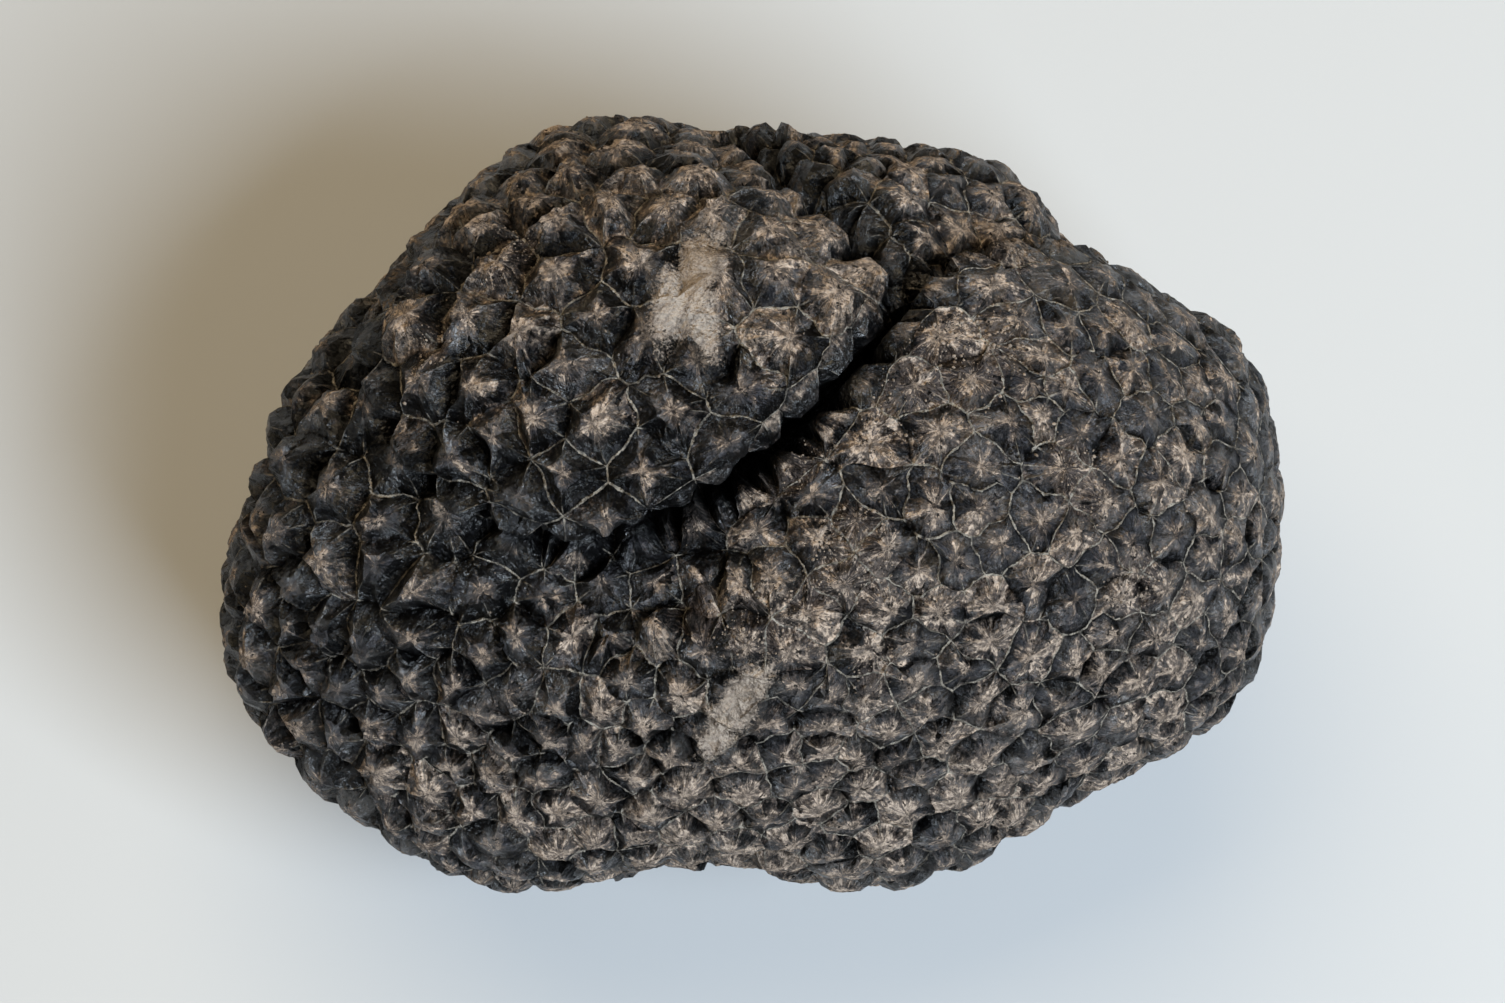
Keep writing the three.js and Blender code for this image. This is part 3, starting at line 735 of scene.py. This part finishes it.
def skinMesh():
    made = fineWarts()
    mesh = bpy.data.meshes.new("truffleSkin")
    mesh.from_pydata(made["points"].tolist(), [], made["triangles"].tolist())
    mesh.polygons.foreach_set("use_smooth", [True] * len(mesh.polygons))
    markSharp(mesh, made["sharp"])
    for name in ("wartHeight", "lift", "climb", "inward", "edge", "ridge", "tilt", "seam", "deep",
                 "scar", "crust", "wear", "pale", "net"):
        addAttribute(mesh, name, "FLOAT", "POINT", made[name])
    addAttribute(mesh, "outward", "FLOAT_VECTOR", "POINT", made["outward"])
    addAttribute(mesh, "bearing", "FLOAT_VECTOR", "CORNER", made["bearing"])
    addAttribute(mesh, "tone", "FLOAT_VECTOR", "FACE", made["faceTones"])
    mesh.uv_layers.new(name="OFBake").uv.foreach_set("vector", bakeMap(made).astype(np.float32).ravel())
    print("skin mesh of", len(mesh.polygons), "triangles")
    return mesh


# Short ways to add nodes and sums to a node tree
def nodeTools(tree):
    def put(socket, value):
        if isinstance(value, bpy.types.NodeSocket):
            tree.links.new(value, socket)
        else:
            socket.default_value = value

    def node(kind, inputs=None, **settings):
        made = tree.nodes.new(kind)
        for name, value in settings.items():
            setattr(made, name, value)
        for key, value in (inputs or {}).items():
            put(made.inputs[key], value)
        return made

    def calc(operation, *values):
        made = node("ShaderNodeMath", operation=operation)
        for socket, value in zip(made.inputs, values):
            put(socket, value)
        return made.outputs[0]

    def chained(operation):
        return lambda *values: reduce(lambda a, b: calc(operation, a, b), values)

    total, product, most = chained("ADD"), chained("MULTIPLY"), chained("MAXIMUM")

    def oneLess(value):
        return calc("SUBTRACT", 1.0, value)

    def ramp(value, low, high, toLow=0.0, toHigh=1.0):  # a smooth step from low to high
        ends = {"Value": value, "From Min": low, "From Max": high, "To Min": toLow, "To Max": toHigh}
        return node("ShaderNodeMapRange", ends, interpolation_type="SMOOTHSTEP").outputs["Result"]

    def vector(operation, a, b):
        made = node("ShaderNodeVectorMath", {0: a, 1: b}, operation=operation)
        return made.outputs["Value" if operation == "DOT_PRODUCT" else "Vector"]

    def scaled(a, by):
        return node("ShaderNodeVectorMath", {0: a, "Scale": by}, operation="SCALE").outputs[0]

    def noise(place, scale, detail=2.0, roughness=0.5, depth=None):  # from 0 to 1, and as a colour
        inputs = {"Vector": place, "Scale": scale, "Detail": detail, "Roughness": roughness}
        if depth is None:
            return node("ShaderNodeTexNoise", inputs).outputs
        return node("ShaderNodeTexNoise", {**inputs, "W": depth}, noise_dimensions="4D").outputs

    def named(name, kind="FLOAT"):  # what the mesh holds under this name
        if tree.bl_idname == "GeometryNodeTree":
            found = node("GeometryNodeInputNamedAttribute", {"Name": name}, data_type=kind)
            return found.outputs["Attribute"]
        found = node("ShaderNodeAttribute", attribute_name=name)
        return found.outputs["Fac" if kind == "FLOAT" else "Vector"]

    return node, total, product, ramp, noise, named, calc, scaled, vector, oneLess, most


# A tree with a named input for each number, the corners of the CAD box and the material
def sizedTree(name, numbers):
    tree = bpy.data.node_groups.new(name, "GeometryNodeTree")
    tree.interface.new_socket("Geometry", in_out="OUTPUT", socket_type="NodeSocketGeometry")
    kinds = {key: "Int" if isinstance(value, int) else "Float" for key, value in numbers.items()}
    ends = {"Lowest Corner": "Vector", "Highest Corner": "Vector", "Material": "Material"}
    for key, kind in {"Geometry": "Geometry", **kinds, **ends}.items():
        tree.interface.new_socket(key, in_out="INPUT", socket_type="NodeSocket" + kind)
    return tree, tree.nodes.new("NodeGroupInput").outputs, nodeTools(tree)


def keptInBox(given, node, vector, geometry):  # points that left the CAD box are put back on it
    place = node("GeometryNodeInputPosition").outputs[0]
    place = vector("MINIMUM", vector("MAXIMUM", place, given["Lowest Corner"]), given["Highest Corner"])
    return node("GeometryNodeSetPosition", {"Geometry": geometry, "Position": place}).outputs[0]


def addObject(name, data):
    made = bpy.data.objects.new(name, data)
    bpy.context.scene.collection.objects.link(made)
    return made


def runTree(mesh, tree, name, settings, material):  # the tree's result as a plain mesh object
    source = addObject(name + "Source", mesh)
    modifier = source.modifiers.new("nodes", "NODES")
    modifier.node_group = tree
    box = {"Lowest Corner": cadBox[0], "Highest Corner": cadBox[1]}
    settings = {**settings, **box, "Material": material}
    for item in tree.interface.items_tree:
        if item.in_out == "INPUT" and item.name in settings:
            modifier[item.identifier] = settings[item.name]
    graph = bpy.context.evaluated_depsgraph_get()
    result = bpy.data.meshes.new_from_object(source.evaluated_get(graph), depsgraph=graph)
    source.modifiers.remove(modifier)
    bpy.data.objects.remove(source)
    result.name = name
    return addObject(name, result)


def newMaterial(name):
    material = bpy.data.materials.new(name)
    material.use_nodes = True
    material.node_tree.nodes.clear()
    return material, nodeTools(material.node_tree)


# The fine relief, in millimetres, or as shares of a wart's height
relief = {
    "Wart Rise": 1.08,
    "Wart Steepness": 0.94,
    "Facet Sag": 0.42,
    "Wart Tilt": 0.40,
    "Furrow Count": 3.4,
    "Furrow Depth": 0.13,
    "Gully Depth": 0.45,
    "Crater Depth": -0.08,
    "Tip Lump Size": 0.36,
    "Tip Lump Depth": 0.15,
    "Skin Lump Size": 0.8,
    "Skin Lump Depth": 0.05,
    "Line Rise": 0.06,
    "Groove Depth": 0.45,
    "Joined Height": 0.6,
    "Lip Rise": 0.85,
    "Crust Lump Size": 0.55,
    "Crust Lump Depth": 0.45,
    "Seed": 3.0,
}


# Raises the warts from the bare skin
def wartReliefTree():
    tree, given, tools = sizedTree("wartRelief", relief)
    node, total, product, ramp, noise, named, calc, scaled, vector, oneLess, most = tools

    def lumps(name):  # in millimetres, up and down, by place
        place = node("GeometryNodeInputPosition").outputs[0]
        place = scaled(place, calc("DIVIDE", 1 / mm, given[name + " Size"]))
        height = calc("MULTIPLY_ADD", noise(place, 1.0, depth=seed)[0], 2.0, -1.0)
        return product(height, given[name + " Depth"])

    def roundWart(turns, climb, seed):  # from -1 to 1, by the bearing from the wart's tip
        spun = scaled(named("bearing", "FLOAT_VECTOR"), turns)
        return calc("MULTIPLY_ADD", noise(spun, 0.5, 1.5, depth=total(climb, seed))[0], 2.0, -1.0)

    climb, inward, deep, edge, seam = [named(key) for key in ("climb", "inward", "deep", "edge", "seam")]
    seed = given["Seed"]
    midSlope = product(climb, oneLess(climb), 4.0)
    fold = product(midSlope, calc("SUBTRACT", named("ridge"), 0.5), given["Facet Sag"])
    furrow = roundWart(given["Furrow Count"], product(climb, 0.6), seed)
    furrow = product(furrow, ramp(climb, 0.0, 0.6), given["Furrow Depth"])
    gully = ramp(roundWart(1.8, 0.0, total(seed, 7.0)), 0.16, 0.40)
    gully = product(gully, ramp(inward, 0.0, 0.7, 1.0, 0.2), ramp(climb, 0.0, 0.8), given["Gully Depth"])
    crater = product(ramp(inward, 0.0, 0.9), given["Crater Depth"])
    tilt = product(named("tilt"), climb, given["Wart Tilt"])
    joined = product(most(seam, 0.0), given["Joined Height"], oneLess(climb))
    uneven = calc("SUBTRACT", total(fold, furrow, tilt, joined), total(gully, crater))
    uneven = product(uneven, oneLess(product(named("pale"), 0.8)))
    rise = total(calc("POWER", climb, given["Wart Steepness"]), uneven)
    rise = product(rise, named("wartHeight"), given["Wart Rise"])

    tipLumps = product(lumps("Tip Lump"), ramp(climb, 0.6, 1.1))
    skinLumps = product(lumps("Skin Lump"), ramp(edge, 0.0, 0.5, 0.2, 1.0))
    crustLumps = product(lumps("Crust Lump"), named("crust"))
    paleLine = product(ramp(edge, 0.0, warts["lineHalfWidth"], 1.0, 0.0), given["Line Rise"])
    groove = product(calc("MINIMUM", seam, 0.0), ramp(edge, 0.0, 0.6, 1.0, 0.0), given["Groove Depth"])
    small = total(tipLumps, skinLumps, paleLine, groove, crustLumps)
    small = product(small, oneLess(product(deep, 0.8)), mm)
    lift = product(named("lift"), oneLess(climb))
    offset = scaled(named("outward", "FLOAT_VECTOR"), total(rise, small, lift))

    # the ragged lip over a deep crease
    lip = product(ramp(deep, 0.02, 0.3), ramp(deep, 0.6, 1.0, 1.0, 0.2))
    lip = product(total(climb, furrow), lip, given["Lip Rise"], mm)
    offset = vector("ADD", offset, scaled(node("GeometryNodeInputNormal").outputs[0], lip))
    raised = node("GeometryNodeSetPosition", {"Geometry": given["Geometry"], "Offset": offset})
    kept = keptInBox(given, node, vector, raised.outputs[0])
    real = node("GeometryNodeRealizeInstances", {"Geometry": kept}).outputs[0]
    done = node("GeometryNodeSetMaterial", {"Geometry": real, "Material": given["Material"]})
    node("NodeGroupOutput", {0: done.outputs[0]})
    return tree


# Colours and finish of the skin
finish = {
    "slateDark": (0.0022, 0.0024, 0.0032, 1),
    "slateLight": (0.047, 0.046, 0.052, 1),
    # the colour of painted shade in valleys, grooves, pits, creases and on steep sides
    "paintedShade": (0.0015, 0.0014, 0.0014, 1),
    "dust": (0.118, 0.099, 0.083, 1),
    "brown": (0.108, 0.083, 0.071, 1),
    "tanDark": (0.165, 0.129, 0.106, 1),
    "tanLight": (0.680, 0.525, 0.405, 1),
    "scar": (0.400, 0.325, 0.262, 1),
    "lineDark": (0.086, 0.077, 0.066, 1),
    "lineLight": (0.350, 0.308, 0.254, 1),
    "largeChips": (1.3, 0.42),  # small flat facets: their size in millimetres, and their tilt
    "smallChips": (0.5, 0.20),
    "wideFan": (7, 1.15),       # long facets round a wart: how many, and their tilt
    "thinFan": (24, 0.50),
}


def skinMaterial():
    material, tools = newMaterial("truffleSkin")
    node, total, product, ramp, noise, named, calc, scaled, vector, oneLess, most = tools
    place = node("ShaderNodeTexCoord").outputs["Object"]

    def grain(size, detail=3.0, roughness=0.55):  # from 0 to 1, size in millimetres
        return noise(place, 1 / (size * mm), detail, roughness)[0]

    def mix(share, a, b):  # sockets 6 and 7 are the two colours, and output 2 their mix
        return node("ShaderNodeMix", {0: share, 6: a, 7: b}, data_type="RGBA").outputs[2]

    def offCentre(value, share):
        return product(calc("SUBTRACT", value, 0.5), share)

    def wander(scale, detail, far):  # a shift that differs from place to place
        return scaled(vector("SUBTRACT", noise(place, scale, detail)[1], (0.5, 0.5, 0.5)), far)

    def leaning(spot, scale):  # flat facets, each leaning its own way: height, tone
        cell = node("ShaderNodeTexVoronoi", {"Vector": spot, "Scale": scale}).outputs
        lean = vector("SUBTRACT", cell["Color"], (0.5, 0.5, 0.5))
        slope = vector("DOT_PRODUCT", lean, vector("SUBTRACT", spot, cell["Position"]))
        return slope, node("ShaderNodeSeparateXYZ", {0: lean}).outputs[0]

    def chips(size, tilt):  # height in millimetres, tone
        scale = 1 / (size * mm)
        slope, tone = leaning(vector("ADD", place, wander(scale, 2.0, size * mm * 1.2)), scale)
        return product(slope, 2 * tilt / mm), tone

    def aroundTip(turns, bend):  # places by the bearing from a wart's tip, not quite straight
        spot = vector("ADD", scaled(bearing, turns), wander(1.2 / mm, 3.0, bend))
        return vector("ADD", spot, node("ShaderNodeCombineXYZ", {"Z": product(share, bend)}).outputs[0])

    def fan(count, tilt):  # facets that spread from a wart's tip: height in millimetres, tone
        slope, tone = leaning(aroundTip(count / 6, 1.0), 1.0)
        return product(slope, share, 24 * tilt / count), tone

    climb, inward, edge, ridge = [named(key) for key in ("climb", "inward", "edge", "ridge")]
    deep, seam, pale, net, wear = [named(key) for key in ("deep", "seam", "pale", "net", "wear")]
    bearing = named("bearing", "FLOAT_VECTOR")
    share = oneLess(total(product(climb, 1 - warts["top"]), product(inward, warts["top"])))
    wartTone = node("ShaderNodeSeparateXYZ", {0: named("tone", "FLOAT_VECTOR")}).outputs[1]
    fine, medium, broad = grain(0.17, 4.0, 0.7), grain(0.8), grain(6.0, 2.0)
    (largeChips, largeTone), (smallChips, _) = chips(*finish["largeChips"]), chips(*finish["smallChips"])
    (wideFan, wideTone), (thinFan, thinTone) = fan(*finish["wideFan"]), fan(*finish["thinFan"])
    streak = noise(aroundTip(8.0, 2.2), 1.0, 4.0, 0.65)[0]  # fine lines that run up a wart's sides
    crust = ramp(total(named("crust"), offCentre(medium, 1.4), offCentre(fine, 0.8)), 0.30, 0.75)
    crust = product(crust, ramp(named("crust"), 0.0, 0.2))

    # dark slate in tones that vary at random, greyer on the flat parts of a wart than on its steep
    # sides, where the darker tone is painted shade
    normal = node("ShaderNodeNewGeometry").outputs["Normal"]
    flat = ramp(vector("DOT_PRODUCT", normal, named("outward", "FLOAT_VECTOR")), 0.68, 0.96)
    slate = total(product(medium, 0.5), product(streak, 0.5), product(wideTone, 0.26),
                  product(thinTone, 0.16), offCentre(flat, 0.25), offCentre(fine, 0.4))
    colour = mix(ramp(slate, 0.36, 0.76), finish["slateDark"], finish["slateLight"])
    facets = total(wideTone, largeTone, offCentre(medium, 0.8))
    dust = total(product(fine, 0.55), product(broad, 0.45), offCentre(grain(0.45, 3.0), 0.5),
                 product(facets, 0.15), offCentre(flat, 0.06), product(wear, 0.35))
    colour = mix(ramp(dust, 0.49, 0.74, 0.0, 0.6), colour, finish["dust"])
    # painted shade near the foot lines, in the valleys between warts
    low = total(edge, offCentre(medium, 0.8), product(net, 0.14))
    colour = mix(ramp(low, 0.10, 0.80, 0.85, 0.0), colour, finish["paintedShade"])

    # tips and ridges worn brown and tan; deep in a crease, below the upper lobe and on steep sides they
    # are kept darker, which is painted shade
    wornAndShaded = total(product(inward, 0.65), ramp(climb, 0.35, 1.0, 0.0, 0.34), product(ridge, 0.10),
                 offCentre(wartTone, 0.65), offCentre(broad, 0.5), offCentre(fine, 0.9),
                 offCentre(grain(0.7, 3.0), 2.0), offCentre(streak, 1.1), product(wideTone, 0.50),
                 product(thinTone, 0.25), wear, product(named("tilt"), 0.45),
                 product(ramp(deep, 0.0, 0.12), ramp(deep, 0.12, 0.35, 0.3, -0.5)))
    wornAndShaded = most(wornAndShaded, product(crust, total(0.42, offCentre(streak, 1.6))))
    wornAndShaded = total(wornAndShaded, product(facets, 0.15), offCentre(flat, 0.10))
    colour = mix(ramp(wornAndShaded, 0.05, 0.68, 0.0, 0.9), colour, finish["brown"])
    tan = total(product(fine, 0.4), product(grain(0.35, 2.0), 0.6), offCentre(streak, 0.4),
                product(thinTone, 0.15))
    tan = mix(ramp(tan, 0.36, 0.66), finish["tanDark"], finish["tanLight"])
    wornAndShaded = ramp(wornAndShaded, 0.44, 0.94)
    colour = mix(product(wornAndShaded, 0.85), colour, tan)
    # painted shade on the steep sides of the warts
    colour = mix(ramp(flat, 0.0, 0.6, 0.45, 0.0), colour, finish["paintedShade"])

    # bald scars, with fibres along them
    along = node("ShaderNodeMapping", {"Vector": place, "Rotation": (0, 0, 0.9), "Scale": (5, 1, 1)},
                 vector_type="TEXTURE").outputs[0]
    fibre = total(product(fine, 0.4), product(grain(0.5, 3.0), 0.3),
                  product(noise(along, 1 / (0.3 * mm), 4.0)[0], 0.3), offCentre(pale, 0.16))
    bald = ramp(total(pale, offCentre(fine, 1.3), offCentre(grain(1.3), 1.5)), 0.35, 0.70)
    bald = product(bald, ramp(pale, 0.0, 0.3))
    colour = mix(bald, colour, mix(ramp(fibre, 0.40, 0.62), finish["tanDark"], finish["scar"]))

    # painted shade in the grooves, in cracks that run up to the tip, in pits in the tip, and along the
    # rim of a scar
    groove = product(ramp(edge, 0.05, 0.45, 1.0, 0.0), ramp(seam, -0.7, 0.0, 1.0, 0.0))
    crack = ramp(calc("ABSOLUTE", calc("SUBTRACT", streak, 0.5)), 0.004, 0.035, 1.0, 0.0)
    crack = product(crack, ramp(medium, 0.44, 0.58), ramp(edge, 0.1, 0.5))
    pit = product(ramp(grain(0.42, 2.0), 0.62, 0.68), ramp(edge, 0.15, 0.5))
    rim = product(ramp(named("scar"), 0.02, 0.2), ramp(bald, 0.1, 0.4, 0.7, 0.0))
    dark = product(most(groove, crack, pit, rim), ramp(bald, 0.2, 0.8, 0.92, 0.25))
    colour = mix(dark, colour, finish["paintedShade"])
    # painted shade deep in the creases
    colour = mix(ramp(deep, 0.2, 0.9, 0.0, 0.8), colour, finish["paintedShade"])

    # pale lines between warts, and thinner ones on some of their ridges
    line = total(edge, offCentre(fine, 0.20), offCentre(grain(0.4, 2.0), 0.20), product(net, -0.016))
    shown = ramp(total(grain(1.8, 2.0), product(fine, 0.3), product(net, 0.62)), 0.48, 0.64)
    line = product(ramp(line, 0.030, 0.068, 1.0, 0.0), shown, oneLess(bald), oneLess(product(deep, 0.8)),
                   ramp(calc("ABSOLUTE", seam), 0.1, 0.5, 1.0, 0.0))
    crest = product(ramp(total(ridge, offCentre(fine, 0.14)), 0.86, 0.97), ramp(climb, 0.02, 0.15),
                    ramp(climb, 0.7, 1.1, 0.7, 0.0), ramp(grain(1.4), 0.47, 0.58))
    line = most(line, product(crest, ramp(bald, 0.0, 0.5, 1.0, 0.0)))
    lineTone = mix(ramp(grain(0.5), 0.35, 0.65), finish["lineDark"], finish["lineLight"])
    colour = mix(line, colour, lineTone)

    rough = most(wornAndShaded, bald, line, crust)
    gloss = total(ramp(rough, 0.0, 0.8, 0.36, 0.9), offCentre(fine, 0.15), offCentre(streak, 0.3))
    sheen = ramp(product(total(wideTone, largeTone), 0.6), -0.30, 0.30, 0.25, 1.0)
    sheen = product(sheen, ramp(rough, 0.0, 0.8, 1.0, 0.3), ramp(edge, 0.0, 0.6, 0.3, 1.0))
    height = total(product(fine, 0.05), product(streak, 0.20), largeChips, smallChips, wideFan, thinFan,
                   product(rough, grain(0.14, 4.0), 0.22), product(dark, -0.10))
    bump = node("ShaderNodeBump", {"Height": height, "Distance": mm, "Strength": 1.0}).outputs[0]
    shader = node("ShaderNodeBsdfPrincipled", {"Base Color": colour, "Roughness": gloss, "Normal": bump,
                                               "Specular IOR Level": sheen})
    node("ShaderNodeOutputMaterial", {"Surface": shader.outputs[0]})
    return material


truffle = runTree(skinMesh(), wartReliefTree(), "truffleBody", relief, skinMaterial())
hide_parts("truffle")
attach(truffle, "root")
print("truffle body of", len(truffle.data.polygons), "triangles")


# Loose crumbs of soil and dry skin, thick on the crusts and few elsewhere, in metres
crumbSizes = {
    "Smallest": 0.00004,
    "Largest": 0.00016,
    "Crust Density": 14.0e6,  # crumbs for each square metre
    "Plain Density": 0.06e6,
    "Seed": 5,
}

crumbColours = {
    "dark": (0.045, 0.036, 0.030, 1),
    "light": (0.250, 0.195, 0.150, 1),
}


def crumbTree():
    tree, given, tools = sizedTree("crumbs", crumbSizes)
    node, total, product, ramp, noise, named, calc, scaled, vector, *_ = tools

    def drawn(kind, low, high, shift):
        made = node("FunctionNodeRandomValue", {"Seed": total(given["Seed"], shift)}, data_type=kind)
        sockets = [socket for socket in made.inputs if socket.enabled]
        sockets[0].default_value, sockets[1].default_value = low, high
        return next(socket for socket in made.outputs if socket.enabled)

    cloud = noise(node("GeometryNodeInputPosition").outputs[0], 1.0 / mm)[0]
    patch = product(ramp(named("crust"), 0.0, 0.8), ramp(cloud, 0.42, 0.58))
    density = total(product(patch, given["Crust Density"]), given["Plain Density"])
    density = product(density, ramp(named("deep"), 0.0, 0.2, 1.0, 0.0))
    scattered = node("GeometryNodeDistributePointsOnFaces",
                     {"Mesh": given["Geometry"], "Density": density, "Seed": given["Seed"]})
    size = product(drawn("FLOAT", 0.0, 1.0, 1.0), drawn("FLOAT", 0.0, 1.0, 2.0))
    sizeRange = calc("SUBTRACT", given["Largest"], given["Smallest"])
    size = calc("MULTIPLY_ADD", size, sizeRange, given["Smallest"])
    ball = node("GeometryNodeMeshIcoSphere", {"Radius": 1.0, "Subdivisions": 1})
    placed = node("GeometryNodeInstanceOnPoints", {
        "Points": scattered.outputs["Points"],
        "Instance": ball.outputs["Mesh"],
        "Rotation": drawn("FLOAT_VECTOR", (0, 0, 0), (2 * math.pi,) * 3, 4.0),
        "Scale": scaled(drawn("FLOAT_VECTOR", (0.7, 0.7, 0.6), (1.6, 1.2, 1.0), 3.0), size),
    })
    toned = node("GeometryNodeStoreNamedAttribute", {"Geometry": placed.outputs[0], "Name": "crumbTone",
                                                     "Value": drawn("FLOAT", 0.0, 1.0, 5.0)},
                 data_type="FLOAT", domain="INSTANCE")
    real = node("GeometryNodeRealizeInstances", {"Geometry": toned.outputs[0]}).outputs[0]
    kept = keptInBox(given, node, vector, real)
    done = node("GeometryNodeSetMaterial", {"Geometry": kept, "Material": given["Material"]})
    node("NodeGroupOutput", {0: done.outputs[0]})
    return tree


def crumbMaterial():
    material, tools = newMaterial("crumbs")
    node, total, product, ramp, noise, named, *_ = tools
    speck = noise(node("ShaderNodeTexCoord").outputs["Object"], 9 / mm)[0]
    share = ramp(total(named("crumbTone"), product(speck, 0.3)), 0.35, 1.15)
    colour = node("ShaderNodeMix", {0: share, 6: crumbColours["dark"], 7: crumbColours["light"]},
                  data_type="RGBA").outputs[2]
    shader = node("ShaderNodeBsdfPrincipled", {"Base Color": colour, "Roughness": 0.9,
                                               "Specular IOR Level": 0.2})
    node("ShaderNodeOutputMaterial", {"Surface": shader.outputs[0]})
    return material


crumbs = runTree(truffle.data.copy(), crumbTree(), "looseCrumbs", crumbSizes, crumbMaterial())
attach(crumbs, "root")
print("crumbs of", len(crumbs.data.polygons), "faces")


# Floor, light and camera, in metres
studio = {
    "floorSize": 3.0,
    "floorColour": (0.475, 0.475, 0.475, 1),
    "worldColour": (1.0, 0.83, 0.57, 1),
    "worldStrength": 0.11,
    "lamps": {
        "window": {"place": (0.37, -0.37, 0.53), "size": 0.40, "energy": 10.6,
                   "colour": (0.76, 0.88, 1.0)},
        "ceiling": {"place": (-0.20, 0.45, 0.75), "size": 0.9, "energy": 6.2,
                    "colour": (1.0, 0.83, 0.57)},
    },
    "lensLength": 114.4,
    "cameraTilt": 72,
    "cameraDistance": 0.3,
    "cameraTarget": (-0.00025, 0.00015, 0.0217),
    "lampTarget": (0, 0, 0.02),
}


def buildStudio():
    bpy.ops.mesh.primitive_plane_add(size=studio["floorSize"])
    floor = bpy.context.object
    floor.name = "floor"
    paper = bpy.data.materials.new("palePaper")
    paper.use_nodes = True
    shader = paper.node_tree.nodes["Principled BSDF"]
    shader.inputs["Base Color"].default_value = studio["floorColour"]
    shader.inputs["Roughness"].default_value = 0.9
    floor.data.materials.append(paper)

    world = bpy.data.worlds.new("room")
    world.use_nodes = True
    background = world.node_tree.nodes["Background"]
    background.inputs["Color"].default_value = studio["worldColour"]
    background.inputs["Strength"].default_value = studio["worldStrength"]
    bpy.context.scene.world = world

    for name, given in studio["lamps"].items():
        light = bpy.data.lights.new(name, "AREA")
        light.size = given["size"]
        light.energy = given["energy"]
        light.color = given["colour"]
        lamp = addObject(name, light)
        lamp.location = given["place"]
        ahead = Vector(studio["lampTarget"]) - lamp.location
        lamp.rotation_euler = ahead.to_track_quat("-Z", "Y").to_euler()

    lens = bpy.data.cameras.new("camera")
    lens.lens = studio["lensLength"]
    camera = addObject("camera", lens)
    tilt = math.radians(studio["cameraTilt"])
    target = Vector(studio["cameraTarget"])
    back = Vector((0, -math.cos(tilt), math.sin(tilt)))
    camera.location = target + back * studio["cameraDistance"]
    camera.rotation_euler = (-back).to_track_quat("-Z", "Y").to_euler()
    bpy.context.scene.camera = camera
    bpy.context.scene.view_settings.view_transform = "Standard"


buildStudio()
print("studio ready")
